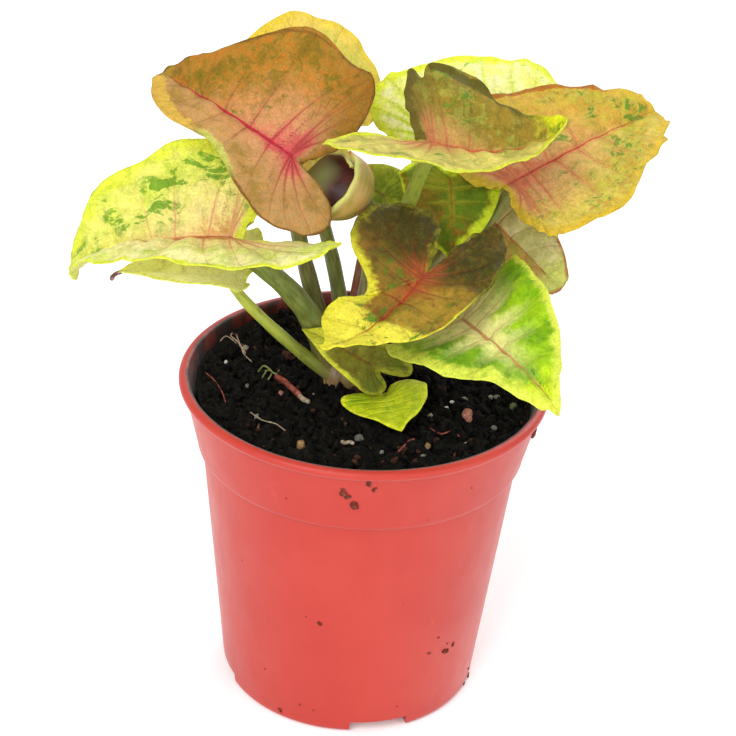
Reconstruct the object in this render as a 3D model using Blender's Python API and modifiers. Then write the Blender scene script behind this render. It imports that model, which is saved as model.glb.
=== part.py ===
"""An arrowhead plant (Syngonium) in a 6 cm plastic nursery pot, standing at rest.

Sizes are in millimetres and angles in degrees until the last step, which builds in metres.
The origin is the middle of the pot's flat underside, with +Z up and the front at -Y.
"""

import math
from dataclasses import dataclass

import bmesh
import bpy
import numpy as np
from mathutils import Matrix, Vector

MM = 0.001
GAP = 0.3
WELD = 0.000001

# Pot: a moulded nursery pot with a deep collar under its lip.
POT_HEIGHT = 56.0
RIM_RADIUS = 30.0
COLLAR_HEIGHT = 12.3
COLLAR_FOOT_RADIUS = 26.8
COLLAR_STEP = 0.9
BASE_RADIUS = 21.5
WALL = 1.2
LIP_WIDTH = 1.7
LIP_HEIGHT = 1.6
FLOOR = 3.2
POT_STEPS = 48
NOTCH_WIDTH = 9.8
NOTCH_HEIGHT = 2.0
NOTCH_START = 9.0
NOTCH_TURN = -74.0
NOTCHES = 4
DRAIN_RADIUS = 2.6
DRAIN_AT = 14.0

# Soil: fills the pot to just under its lip and rises towards the stem.
SOIL_EDGE_HEIGHT = 52.4
SOIL_MOUND = 1.6
SOIL_RINGS = 7
SOIL_LUMP = 0.35
HOLE_DEPTH = 40.0

# Stem: a short crown that every leaf stalk grows from.
CROWN = (-3.0, 4.0)
CROWN_RADIUS = 4.8
CROWN_TOP = 58.0
CROWN_BOTTOM = 44.0
CROWN_STEPS = 20
STALK_FOOT_DEPTH = 3.0
STALK_ROUNDNESS = 2
STALK_STEPS = 7

# Blades: a fan of facets about the point where the stalk joins.
BLADE_THICKNESS = 0.7
OUTLINE_STEPS = 14
BLADE_ROWS = 3
WAVE_SHARE = 0.03
WAVES = 3
BEND_PIECES = 24
STALK_SEAT_AHEAD = 0.8
STALK_SEAT_GAP = 0.35


@dataclass
class Leaf:
    """One leaf: its blade's place, size and bend, and its stalk's route to the crown.

    Left and right are as seen from above, looking from the stalk towards the tip.
    """

    name: str
    joint: tuple
    heading: float
    pitch: float
    roll: float
    length: float
    width: tuple
    lobe: tuple
    fold: tuple = (10, 10)
    curl: tuple = (-10, -10)
    droop: float = 20
    lobe_droop: float = 10
    hook: float = 0
    bend: float = 0
    waist: tuple = (0, 0)
    foot_turn: float = 0
    foot_out: float = 2.0
    neck: float = 5.0
    rise: tuple = (0, 0, 12)
    stalk: tuple = (1.3, 0.8)
    fullness: tuple = (1, 1)  # under 1 for a blunt, rounded tip
    sinus: float = 1  # under 1 for lobes that lie closer together


LEAVES = [
    Leaf("leaf_crimson", (-13, -2, 94.5), 159, 26, -44, 30, (13, 17.5), (11, 5.5), (21, 10), (13, -15),
         42, 4, 8, -1, (0.4, -0.2), 150, 2.6, 8, (-8, 4, 22), (1.4, 0.9)),
    Leaf("leaf_amber", (-11.5, 18, 92.5), 205, 33, -42, 19, (12, 20), (12, 15), (10, 10), (-10, -18),
         20, 8, 0, 0, (0, -0.05), 110, 2.2, 6, (0, 3, 20), (1.3, 0.8)),
    Leaf("leaf_cream", (-21.5, -6, 82), 172, -3, -24, 32.5, (13, 15.5), (20, 4), (36, 28), (-10, 0),
         36, -20, 38, 0, (0, -0.1), 190, 2.6, 3, (-4, -3, 18), (2.0, 1.2), (1, 0.7)),
    Leaf("leaf_under_cream", (-21, -2, 73), 174, 3, -14, 19.5, (8.5, 10), (3, 3.5), (30, 20), (0, -10),
         15, -10, 0, 0, (0, 0), 222, 3.6, 3, (-3, -1, 2), (1.1, 0.8)),
    Leaf("leaf_lime", (9, 19, 89.3), 20, 21.5, 26, 25, (13.5, 7), (7, 5), (18, 40), (-8, -10),
         24, 7, 8, 1, (0, 0), 60, 2.4, 6, (3, 3, 18), (1.2, 0.8), (0.45, 1)),
    Leaf("leaf_olive", (7.5, -5, 99.5), 12, -14, 12, 23.5, (14, 12.5), (4, 17), (30, 19), (-12, 0),
         -29, 12, -74, 0, (0, 0), 0, 2.4, 8, (5, 1, 30), (1.5, 1.0)),
    Leaf("leaf_pink", (21, 5, 89), 32, 21, 32, 30.5, (15.5, 13), (6, 2.5), (11, 18), (-25, 0),
         20, 20, 0, 0, (0, -0.25), 15, 3.0, 5, (10, -3, 17), (1.3, 0.9), (0.7, 0.45)),
    Leaf("leaf_edge_on", (15.7, 13, 81.5), -47, -14, 38, 21, (8, 7), (5, 5), (5, 5), (-10, -10),
         30, 10, 30, 0, (0, 0), 40, 2.8, 5, (6, 5, 14), (1.1, 0.8), (0.5, 0.6)),
    Leaf("leaf_front", (8, -14, 81.5), 236, -23, -8, 22, (9.5, 14), (14, 11), (4, 12), (0, -5),
         -15, 6, -20, -3.4, (-0.1, 0.6), -25, 2.8, 5, (7, 0, 13), (1.2, 0.8), (1, 1), 0.8),
    Leaf("leaf_green", (14.5, -12, 73.5), -62, 8, 12, 28, (13.5, 12), (8.5, 9), (22, 0), (0, -12),
         11, 45, 35, 0, (0, 0), -35, 3.0, 5, (4, 0, 8), (1.2, 0.8)),
    Leaf("leaf_low", (1, -6, 61), 161, 24, -27, 13, (5, 5), (4, 6), (12, 10), (-5, -10),
         20, -10, 0, 0, (0, 0), -75, 3.2, 1, (0, -1, 1), (0.9, 0.7)),
    Leaf("leaf_heart", (3.6, -9, 57), -73, 0, 6, 9, (7, 7), (4, 3), (10, 8), (-10, -12),
         6, 10, 0, 0, (0, 0), -50, 3.4, 1.5, (1, -2, 1), (0.7, 0.5)),
    Leaf("leaf_inner", (11.6, 6.5, 88.3), -80, -50, 4, 13, (8.5, 8), (3, 3), (7, 10), (-12, -10),
         20, 10, 0, 0, (0, 0), 50, 1.5, 3, (5, 5, 14), (1.1, 0.8)),
    Leaf("leaf_behind", (1.4, 9, 83.6), 166, 29, -28, 8.6, (4.6, 6), (5, 5), (10, 10), (-8, -10),
         25, 10, 0, 0, (0, 0), 80, 1.5, 4, (0, 2, 12), (1.0, 0.7)),
]

LEAF_COLOURS = {
    "leaf_crimson": (0.55, 0.27, 0.12), "leaf_amber": (0.80, 0.55, 0.16), "leaf_cream": (0.72, 0.75, 0.22),
    "leaf_under_cream": (0.60, 0.70, 0.16), "leaf_lime": (0.72, 0.85, 0.10), "leaf_olive": (0.36, 0.30, 0.10),
    "leaf_pink": (0.75, 0.50, 0.20), "leaf_edge_on": (0.40, 0.32, 0.14), "leaf_front": (0.16, 0.17, 0.05),
    "leaf_green": (0.22, 0.48, 0.05), "leaf_low": (0.12, 0.20, 0.05), "leaf_heart": (0.48, 0.65, 0.07),
    "leaf_inner": (0.10, 0.20, 0.05), "leaf_behind": (0.30, 0.42, 0.08),
}

# Young leaf: a blade still rolled into a slanted cup, whose mouth looks to the left.
YOUNG_JOINT = (-2.2, 1.0, 86.4)
YOUNG_HEADING = 205.0
YOUNG_PITCH = 38.0
YOUNG_RADIUS = 3.9
YOUNG_LENGTH = 7.4
YOUNG_GROWTH = 0.32
YOUNG_SEAM = 165.0
YOUNG_BASE_TURN = 345.0
YOUNG_TURN = 395.0
YOUNG_FLARE = 4.0
YOUNG_FLARE_TURN = 300.0
YOUNG_STEPS = 24
YOUNG_ROWS = 6
YOUNG_THICKNESS = 0.6
YOUNG_STALK = (2.2, 1.5)
YOUNG_RISE = (5, -1, 14)
YOUNG_NECK = 3.0

HALF_BLADE = [
    (1.00, 0.00), (0.90, 0.15), (0.74, 0.38), (0.52, 0.66), (0.24, 0.89), (-0.10, 1.00),
    (-0.50, 0.99), (-0.86, 0.80), (-1.00, 0.52), (-0.87, 0.27), (-0.56, 0.11), (-0.28, 0.035),
]
SINUS_FLOOR = 1.6
SINUS_SLOPE = 0.125
WAIST_AT = 0.35
WAIST_SPREAD = 0.22


def clear_scene():
    for item in list(bpy.data.objects):
        bpy.data.objects.remove(item, do_unlink=True)


def new_collection(name):
    group = bpy.data.collections.new(name)
    bpy.context.scene.collection.children.link(group)
    return group


def material(name, colour, roughness):
    made = bpy.data.materials.new(name)
    made.use_nodes = True
    shader = made.node_tree.nodes["Principled BSDF"]
    shader.inputs["Base Color"].default_value = (*colour, 1.0)
    shader.inputs["Roughness"].default_value = roughness
    shader.inputs["Metallic"].default_value = 0.0
    return made


def add_object(name, mesh, group, look):
    made = bpy.data.objects.new(name, mesh)
    group.objects.link(made)
    mesh.materials.clear()
    mesh.materials.append(look)
    return made


def hide_helper(made, group):
    """Moves a helper into its own collection and hides it, so that it only shapes other objects."""
    for owner in made.users_collection:
        owner.objects.unlink(made)
    group.objects.link(made)
    made.hide_render = True
    made.display_type = "WIRE"


def smooth(mesh, sharpest=40.0):
    mesh.shade_smooth()
    mesh.set_sharp_from_angle(angle=math.radians(sharpest))


def apply_modifiers(made):
    """Replaces the object's mesh with what its modifiers make of it."""
    graph = bpy.context.evaluated_depsgraph_get()
    graph.update()
    applied = bpy.data.meshes.new_from_object(made.evaluated_get(graph))
    made.modifiers.clear()
    made.data = applied


def through_knots(knots, steps):
    """Points along a Catmull-Rom curve that passes through the knots, ends included."""
    rows = np.array(knots, float)
    padded = np.vstack([2 * rows[0] - rows[1], rows, 2 * rows[-1] - rows[-2]])
    points = []
    for place in np.linspace(0, len(rows) - 1, steps + 1):
        first = min(int(place), len(rows) - 2)
        part = place - first
        a, b, c, d = padded[first:first + 4]
        points.append(0.5 * (2 * b + (c - a) * part + (2 * a - 5 * b + 4 * c - d) * part**2
                             + (3 * b - a - 3 * c + d) * part**3))
    return np.array(points)


def turned(name, profile, steps, group, look):
    """A solid of revolution about Z from (radius, height) points, by a Screw modifier."""
    mesh = bpy.data.meshes.new(name)
    mesh.from_pydata([(r * MM, 0, z * MM) for r, z in profile],
                     [(i, i + 1) for i in range(len(profile) - 1)], [])
    made = add_object(name, mesh, group, look)
    screw = made.modifiers.new("Turn", "SCREW")
    screw.angle = math.tau
    screw.steps = steps
    screw.render_steps = steps
    screw.use_merge_vertices = True
    screw.merge_threshold = 0.00001
    screw.use_smooth_shade = True
    return made


def boolean(made, operation, **operand):
    cut = made.modifiers.new(operation.title(), "BOOLEAN")
    cut.operation = operation
    cut.solver = "EXACT"
    if "collection" in operand:
        cut.operand_type = "COLLECTION"
        cut.collection = operand["collection"]
    else:
        cut.object = operand["item"]
    return cut


def pot_outer_radius(height):
    """Outside radius of the pot's wall and collar at a height."""
    collar_foot = POT_HEIGHT - COLLAR_HEIGHT
    if height >= collar_foot:
        part = (height - collar_foot) / COLLAR_HEIGHT
        return COLLAR_FOOT_RADIUS + part * (RIM_RADIUS - LIP_WIDTH / 3 - COLLAR_FOOT_RADIUS)
    return BASE_RADIUS + height / collar_foot * (COLLAR_FOOT_RADIUS - COLLAR_STEP - BASE_RADIUS)


def pot_profile():
    """The pot's section, from the middle of its floor up the inside and down the outside."""
    collar_foot = POT_HEIGHT - COLLAR_HEIGHT
    top = POT_HEIGHT
    inner_top = pot_outer_radius(top) - WALL
    inside = [
        (0, FLOOR),
        (pot_outer_radius(FLOOR) - WALL - 1.0, FLOOR),
        (pot_outer_radius(FLOOR + 1) - WALL, FLOOR + 1.0),
        (pot_outer_radius(collar_foot - 0.1) - WALL, collar_foot - 1.0),
        (pot_outer_radius(collar_foot) - WALL, collar_foot + 1.0),
        (inner_top, top - 0.7),
        (inner_top + 0.35, top - 0.15),
    ]
    lip = [
        (RIM_RADIUS - 0.9, top),
        (RIM_RADIUS - 0.3, top - 0.25),
        (RIM_RADIUS, top - LIP_HEIGHT / 2),
        (RIM_RADIUS - 0.25, top - LIP_HEIGHT + 0.2),
        (pot_outer_radius(top - LIP_HEIGHT), top - LIP_HEIGHT),
    ]
    outside = [
        (COLLAR_FOOT_RADIUS, collar_foot + 0.4),
        (COLLAR_FOOT_RADIUS - 0.3, collar_foot),
        (pot_outer_radius(collar_foot - 0.1), collar_foot - 0.5),
        (pot_outer_radius(0.8), 0.8),
        (BASE_RADIUS - 0.5, 0),
        (0, 0),
    ]
    return inside + lip + outside


def around(turn, radius, height=0.0):
    angle = math.radians(turn)
    return Vector((radius * math.cos(angle), radius * math.sin(angle), height))


def build_pot(group, cutters, look):
    """The pot, with drainage channels under its floor that leave notches in its foot."""
    pot = turned("pot", pot_profile(), POT_STEPS, group, look)
    for index in range(NOTCHES):
        turn = NOTCH_TURN + 360 / NOTCHES * index
        length = BASE_RADIUS + 4 - NOTCH_START
        bpy.ops.mesh.primitive_cube_add(size=1)
        channel = bpy.context.object
        channel.name = f"channel_{index + 1}"
        channel.data.transform(Matrix.Diagonal((length * MM, NOTCH_WIDTH * MM, 2 * NOTCH_HEIGHT * MM, 1)))
        channel.location = around(turn, NOTCH_START + length / 2) * MM
        channel.rotation_euler.z = math.radians(turn)
        bpy.ops.mesh.primitive_cylinder_add(vertices=16, radius=DRAIN_RADIUS * MM, depth=3 * FLOOR * MM)
        drain = bpy.context.object
        drain.name = f"drain_{index + 1}"
        drain.location = around(turn, DRAIN_AT) * MM
        for cutter in (channel, drain):
            hide_helper(cutter, cutters)
            boolean(pot, "DIFFERENCE", item=cutter)
    return pot


def soil_height(radius_share):
    """Height of the soil's surface from the middle (0) to the wall (1)."""
    return SOIL_EDGE_HEIGHT + SOIL_MOUND * (1 - radius_share**2)


def soil_lump(x, y):
    """A slow unevenness of the surface, as peat settles."""
    waves = math.sin(0.55 * x + 1.3) * math.cos(0.47 * y - 0.4) + 0.6 * math.sin(0.9 * y + 0.35 * x)
    return SOIL_LUMP * waves


def build_soil(group, cutters, look):
    """The peat: one solid that fills the pot, with a plain hole for the stem."""
    edge = pot_outer_radius(SOIL_EDGE_HEIGHT) - WALL - GAP - 0.2
    collar_foot = POT_HEIGHT - COLLAR_HEIGHT
    surface = [(edge * share, soil_height(share)) for share in np.linspace(0, 1, SOIL_RINGS + 1)]
    side = [
        (pot_outer_radius(collar_foot) - WALL - GAP, collar_foot + 1.2),
        (pot_outer_radius(collar_foot - 0.1) - WALL - GAP, collar_foot - 1.4),
        (pot_outer_radius(FLOOR + 1) - WALL - GAP, FLOOR + 1.5),
        (pot_outer_radius(FLOOR) - WALL - 1.5, FLOOR + GAP),
        (0, FLOOR + GAP),
    ]
    soil = turned("soil", surface + side, POT_STEPS // 2, group, look)
    apply_modifiers(soil)
    for point in soil.data.vertices:
        x, y, z = point.co / MM
        out = math.hypot(x, y) / edge
        if z > SOIL_EDGE_HEIGHT - 0.1 and out < 0.99:
            point.co.z += soil_lump(x, y) * min(1.0, 4 * (1 - out)) * MM
    bpy.ops.mesh.primitive_cylinder_add(vertices=CROWN_STEPS, radius=(CROWN_RADIUS + GAP) * MM,
                                        depth=HOLE_DEPTH * MM)
    hole = bpy.context.object
    hole.name = "stem_hole"
    hole.location = Vector((*CROWN, CROWN_BOTTOM - GAP + HOLE_DEPTH / 2)) * MM
    hide_helper(hole, cutters)
    boolean(soil, "DIFFERENCE", item=hole)
    return soil


def half_outline(leaf, side, steps):
    """The blade's edge on one side, from its tip round the lobe to the sinus, lying flat."""
    index = 0 if side > 0 else 1
    points = through_knots(HALF_BLADE, steps)
    waist = 1 - leaf.waist[index] * np.exp(-((points[:, 0] - WAIST_AT) / WAIST_SPREAD) ** 2)
    slope = np.where(points[:, 0] < -0.1, points[:, 1] / np.maximum(-points[:, 0], 0.1), 1.0)
    closing = (1 - leaf.sinus) * np.clip(2 * (1 - slope), 0, 1)
    y = np.maximum(points[:, 1], 0.0) * (SINUS_SLOPE / np.maximum(slope, SINUS_SLOPE)) ** closing
    x = np.where(points[:, 0] > 0, points[:, 0] * leaf.length, points[:, 0] * leaf.lobe[index])
    y = y ** np.where(points[:, 0] > 0, leaf.fullness[index], 1.0) * waist * leaf.width[index]
    x[-1], y[-1] = -SINUS_FLOOR, 0.0
    return x, y


def bent(leaf, x, y, side):
    """Bends a flat point of the blade: each half folds and curls, and the midrib droops."""
    index = 0 if side > 0 else 1
    fold = math.radians(leaf.fold[index])
    curl = math.radians(leaf.curl[index]) / leaf.width[index] or 1e-6
    across = (math.sin(fold + curl * y) - math.sin(fold)) / curl
    lift = (math.cos(fold) - math.cos(fold + curl * y)) / curl
    span = leaf.length if x >= 0 else -max(leaf.lobe)
    droop = math.radians(leaf.droop if x >= 0 else -leaf.lobe_droop)
    hook = math.radians(leaf.hook) if x >= 0 else 0
    share = x / span
    along = height = 0.0
    for piece in range(BEND_PIECES):
        at = (piece + 0.5) / BEND_PIECES * share
        slope = -(droop * at + hook * at**4)
        along += math.cos(slope) * span * share / BEND_PIECES
        height += math.sin(slope) * span * share / BEND_PIECES
    slope = -(droop * share + hook * share**4)
    sideways = leaf.bend * share**2 if x >= 0 else 0
    return Vector((along - math.sin(slope) * lift, side * across + sideways,
                   height + math.cos(slope) * lift))


def blade_mesh(leaf, steps, rows):
    """The blade's middle surface, bent from a flat grid, about the point where the stalk joins."""
    mesh = bpy.data.meshes.new(leaf.name)
    grid = bmesh.new()
    bmesh.ops.create_grid(grid, x_segments=2 * steps, y_segments=rows, size=1)
    outlines = {side: half_outline(leaf, side, steps) for side in (1, -1)}
    for point in grid.verts:
        place = round(point.co.x * steps)
        out = (point.co.y + 1) / 2
        side = 1 if place >= 0 else -1
        x, y = (values[abs(place)] * out for values in outlines[side])
        spot = bent(leaf, x, y, side)
        ripple = side * math.sin(math.tau * WAVES * abs(place) / steps)
        spot.z += WAVE_SHARE * leaf.width[0] * ripple * out**4
        point.co = spot * MM
    bmesh.ops.remove_doubles(grid, verts=grid.verts, dist=WELD)
    bmesh.ops.triangulate(grid, faces=grid.faces)
    bmesh.ops.recalc_face_normals(grid, faces=grid.faces)
    grid.to_mesh(mesh)
    grid.free()
    return mesh


def leaf_matrix(leaf):
    turn = Matrix.Rotation(math.radians(leaf.heading), 4, "Z")
    tilt = Matrix.Rotation(math.radians(-leaf.pitch), 4, "Y")
    roll = Matrix.Rotation(math.radians(leaf.roll), 4, "X")
    return Matrix.Translation(Vector(leaf.joint) * MM) @ turn @ tilt @ roll


def build_blade(leaf, group, look):
    made = add_object(leaf.name, blade_mesh(leaf, OUTLINE_STEPS, BLADE_ROWS), group, look)
    made.matrix_world = leaf_matrix(leaf)
    thick = made.modifiers.new("Thickness", "SOLIDIFY")
    thick.thickness = BLADE_THICKNESS * MM
    thick.offset = 0
    smooth(made.data)
    return made


def young_leaf_point(turn_share, out):
    """The rolled blade: a cup about its own Z axis whose last turn laps over its first."""
    turn_here = YOUNG_BASE_TURN + (YOUNG_TURN - YOUNG_BASE_TURN) * out**2
    turn = math.radians(YOUNG_SEAM + turn_here * turn_share)
    lean = (1 + math.cos(turn - math.radians(YOUNG_FLARE_TURN))) / 2
    radius = YOUNG_RADIUS * math.sin(math.radians(110) * out) * (1 + YOUNG_GROWTH * turn_share)
    radius += YOUNG_FLARE * lean**2 * out**4
    height = YOUNG_LENGTH * (1 - math.cos(math.radians(80) * out))
    return Vector((radius * math.cos(turn), radius * math.sin(turn), height))


def young_matrix():
    turn = Matrix.Rotation(math.radians(YOUNG_HEADING), 4, "Z")
    tilt = Matrix.Rotation(math.radians(90 - YOUNG_PITCH), 4, "Y")
    return Matrix.Translation(Vector(YOUNG_JOINT) * MM) @ turn @ tilt


def build_young_leaf(group, look):
    mesh = bpy.data.meshes.new("leaf_rolled")
    grid = bmesh.new()
    bmesh.ops.create_grid(grid, x_segments=YOUNG_STEPS, y_segments=YOUNG_ROWS, size=1)
    for point in grid.verts:
        point.co = young_leaf_point((point.co.x + 1) / 2, (point.co.y + 1) / 2) * MM
    bmesh.ops.remove_doubles(grid, verts=grid.verts, dist=WELD)
    bmesh.ops.triangulate(grid, faces=grid.faces)
    bmesh.ops.recalc_face_normals(grid, faces=grid.faces)
    grid.to_mesh(mesh)
    grid.free()
    made = add_object("leaf_rolled", mesh, group, look)
    made.matrix_world = young_matrix()
    thick = made.modifiers.new("Thickness", "SOLIDIFY")
    thick.thickness = YOUNG_THICKNESS * MM
    thick.offset = 0
    smooth(mesh)
    return made


def stalk_mesh(name, points, radii):
    """A tapering tube along a Bezier curve, as a mesh with its caps welded."""
    curve = bpy.data.curves.new(name, "CURVE")
    curve.dimensions = "3D"
    curve.bevel_depth = MM
    curve.bevel_resolution = STALK_ROUNDNESS
    curve.use_fill_caps = True
    line = curve.splines.new("POLY")
    shares = np.linspace(0, 1, STALK_STEPS + 1)
    line.points.add(STALK_STEPS)
    for point, share in zip(line.points, shares):
        keep = 1 - share
        spot = (points[0] * keep**3 + points[1] * 3 * keep**2 * share
                + points[2] * 3 * keep * share**2 + points[3] * share**3)
        point.co = (*(spot * MM), 1)
        point.radius = radii[0] * keep + radii[1] * share
    made = bpy.data.objects.new(name, curve)
    bpy.context.scene.collection.objects.link(made)
    graph = bpy.context.evaluated_depsgraph_get()
    graph.update()
    mesh = bpy.data.meshes.new_from_object(made.evaluated_get(graph))
    bpy.data.objects.remove(made)
    shape = bmesh.new()
    shape.from_mesh(mesh)
    bmesh.ops.remove_doubles(shape, verts=shape.verts, dist=WELD)
    bmesh.ops.recalc_face_normals(shape, faces=shape.faces)
    shape.to_mesh(mesh)
    shape.free()
    return mesh


def stalk_route(leaf):
    """Bezier points of a leaf's stalk, from inside the crown to just under its blade."""
    place = leaf_matrix(leaf)
    below = -(place.to_3x3() @ Vector((0, 0, 1)))
    foot = Vector((*CROWN, CROWN_TOP - STALK_FOOT_DEPTH)) + around(leaf.foot_turn, leaf.foot_out)
    ahead = place.to_3x3() @ Vector((1, 0, 0))
    top = Vector(leaf.joint) + ahead * STALK_SEAT_AHEAD + below * (BLADE_THICKNESS / 2 + STALK_SEAT_GAP)
    return [foot, foot + Vector(leaf.rise), top + below * leaf.neck, top]


def young_route():
    foot = Vector((*CROWN, CROWN_TOP - STALK_FOOT_DEPTH))
    axis = young_matrix().to_3x3() @ Vector((0, 0, 1))
    top = Vector(YOUNG_JOINT) - axis * (BLADE_THICKNESS / 2 + STALK_SEAT_GAP)
    return [foot, foot + Vector(YOUNG_RISE), top - axis * YOUNG_NECK, top]


def build_stems(group, look):
    """Crown and leaf stalks, which grow as one piece."""
    profile = [
        (0, CROWN_TOP), (CROWN_RADIUS * 0.5, CROWN_TOP - 0.3), (CROWN_RADIUS * 0.85, CROWN_TOP - 1.8),
        (CROWN_RADIUS, CROWN_TOP - 4), (CROWN_RADIUS, CROWN_BOTTOM + 1),
        (CROWN_RADIUS - 1, CROWN_BOTTOM), (0, CROWN_BOTTOM),
    ]
    stems = turned("stems", profile, CROWN_STEPS, group, look)
    stems.location = Vector((*CROWN, 0)) * MM
    stalks = new_collection("stalks")
    for leaf in LEAVES:
        tube = stalk_mesh(leaf.name + "_stalk", stalk_route(leaf), leaf.stalk)
        hide_helper(add_object(leaf.name + "_stalk", tube, stalks, look), stalks)
    tube = stalk_mesh("leaf_rolled_stalk", young_route(), YOUNG_STALK)
    hide_helper(add_object("leaf_rolled_stalk", tube, stalks, look), stalks)
    boolean(stems, "UNION", collection=stalks)
    apply_modifiers(stems)
    for tube in list(stalks.objects):
        bpy.data.objects.remove(tube)
    bpy.data.collections.remove(stalks)
    return stems


def main():
    clear_scene()
    plant = new_collection("arrowhead_plant")
    cutters = new_collection("cutters")
    build_pot(plant, cutters, material("terracotta_plastic", (0.72, 0.11, 0.07), 0.45))
    build_soil(plant, cutters, material("peat", (0.018, 0.013, 0.010), 0.95))
    build_stems(plant, material("stalk_green", (0.13, 0.20, 0.05), 0.5))
    for leaf in LEAVES:
        build_blade(leaf, plant, material(leaf.name, LEAF_COLOURS[leaf.name], 0.45))
    build_young_leaf(plant, material("leaf_rolled", (0.40, 0.30, 0.12), 0.45))


main()
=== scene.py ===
import math
from dataclasses import dataclass

import bmesh
import bpy
import numpy as np
from mathutils import Matrix, Vector, noise


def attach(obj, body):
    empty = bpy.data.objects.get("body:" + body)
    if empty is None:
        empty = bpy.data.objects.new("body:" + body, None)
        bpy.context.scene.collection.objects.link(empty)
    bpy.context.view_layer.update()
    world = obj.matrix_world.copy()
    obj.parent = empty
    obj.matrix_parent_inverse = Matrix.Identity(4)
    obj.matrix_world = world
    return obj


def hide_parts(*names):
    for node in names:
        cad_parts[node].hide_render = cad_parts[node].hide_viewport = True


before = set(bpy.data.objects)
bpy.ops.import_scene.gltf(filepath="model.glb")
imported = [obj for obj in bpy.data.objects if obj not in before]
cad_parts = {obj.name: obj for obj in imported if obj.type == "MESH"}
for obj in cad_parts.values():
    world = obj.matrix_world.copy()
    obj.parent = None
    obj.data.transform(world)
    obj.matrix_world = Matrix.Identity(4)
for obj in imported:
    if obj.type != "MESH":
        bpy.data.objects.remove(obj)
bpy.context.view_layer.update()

MM = 0.001
BODY = "root"

# The part's own sizes, in millimetres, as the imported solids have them.
POT_HEIGHT = 56.0
DRAIN_RADIUS = 2.6
DRAIN_AT = 14.0
RIM_RADIUS = 30.0
COLLAR_HEIGHT = 12.3
COLLAR_FOOT_RADIUS = 26.8
COLLAR_STEP = 0.9
BASE_RADIUS = 21.5
WALL = 1.2
LIP_WIDTH = 1.7
LIP_HEIGHT = 1.6
FLOOR = 3.2
NOTCH_WIDTH = 9.8
NOTCH_HEIGHT = 2.0
NOTCH_START = 9.0
NOTCH_TURN = -74.0
SOIL_EDGE_HEIGHT = 52.4
SOIL_MOUND = 1.6
SOIL_LUMP = 0.35
CROWN = (-3.0, 4.0)
CROWN_RADIUS = 4.8
CROWN_TOP = 58.0
STALK_FOOT_DEPTH = 3.0
STALK_SEAT_AHEAD = 0.8
STALK_SEAT_BELOW = 0.45
SINUS_FLOOR = 1.6
SINUS_SLOPE = 0.125
WAVE_SHARE = 0.03
WAVES = 3
BEND_PIECES = 24

# One half of a blade in shares of its length, lobe and width, from the tip round to the sinus.
HALF_BLADE = [
    (1.00, 0.00), (0.90, 0.15), (0.74, 0.38), (0.52, 0.66), (0.24, 0.89), (-0.10, 1.00),
    (-0.50, 0.99), (-0.86, 0.80), (-1.00, 0.52), (-0.87, 0.27), (-0.56, 0.11),
]
WAIST_AT = 0.35
WAIST_SPREAD = 0.22


@dataclass
class Leaf:
    """One leaf's place, size and bend. Left and right are as seen from above, towards the tip."""

    name: str
    joint: tuple
    heading: float
    pitch: float
    roll: float
    length: float
    width: tuple
    lobe: tuple
    fold: tuple = (10, 10)
    curl: tuple = (-10, -10)
    droop: float = 20
    lobe_droop: float = 10
    hook: float = 0
    bend: float = 0
    waist: tuple = (0, 0)
    foot_turn: float = 0
    foot_out: float = 2.0
    neck: float = 5.0
    rise: tuple = (0, 0, 12)
    stalk: tuple = (1.3, 0.8)
    fullness: tuple = (1, 1)
    sinus: float = 1


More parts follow.
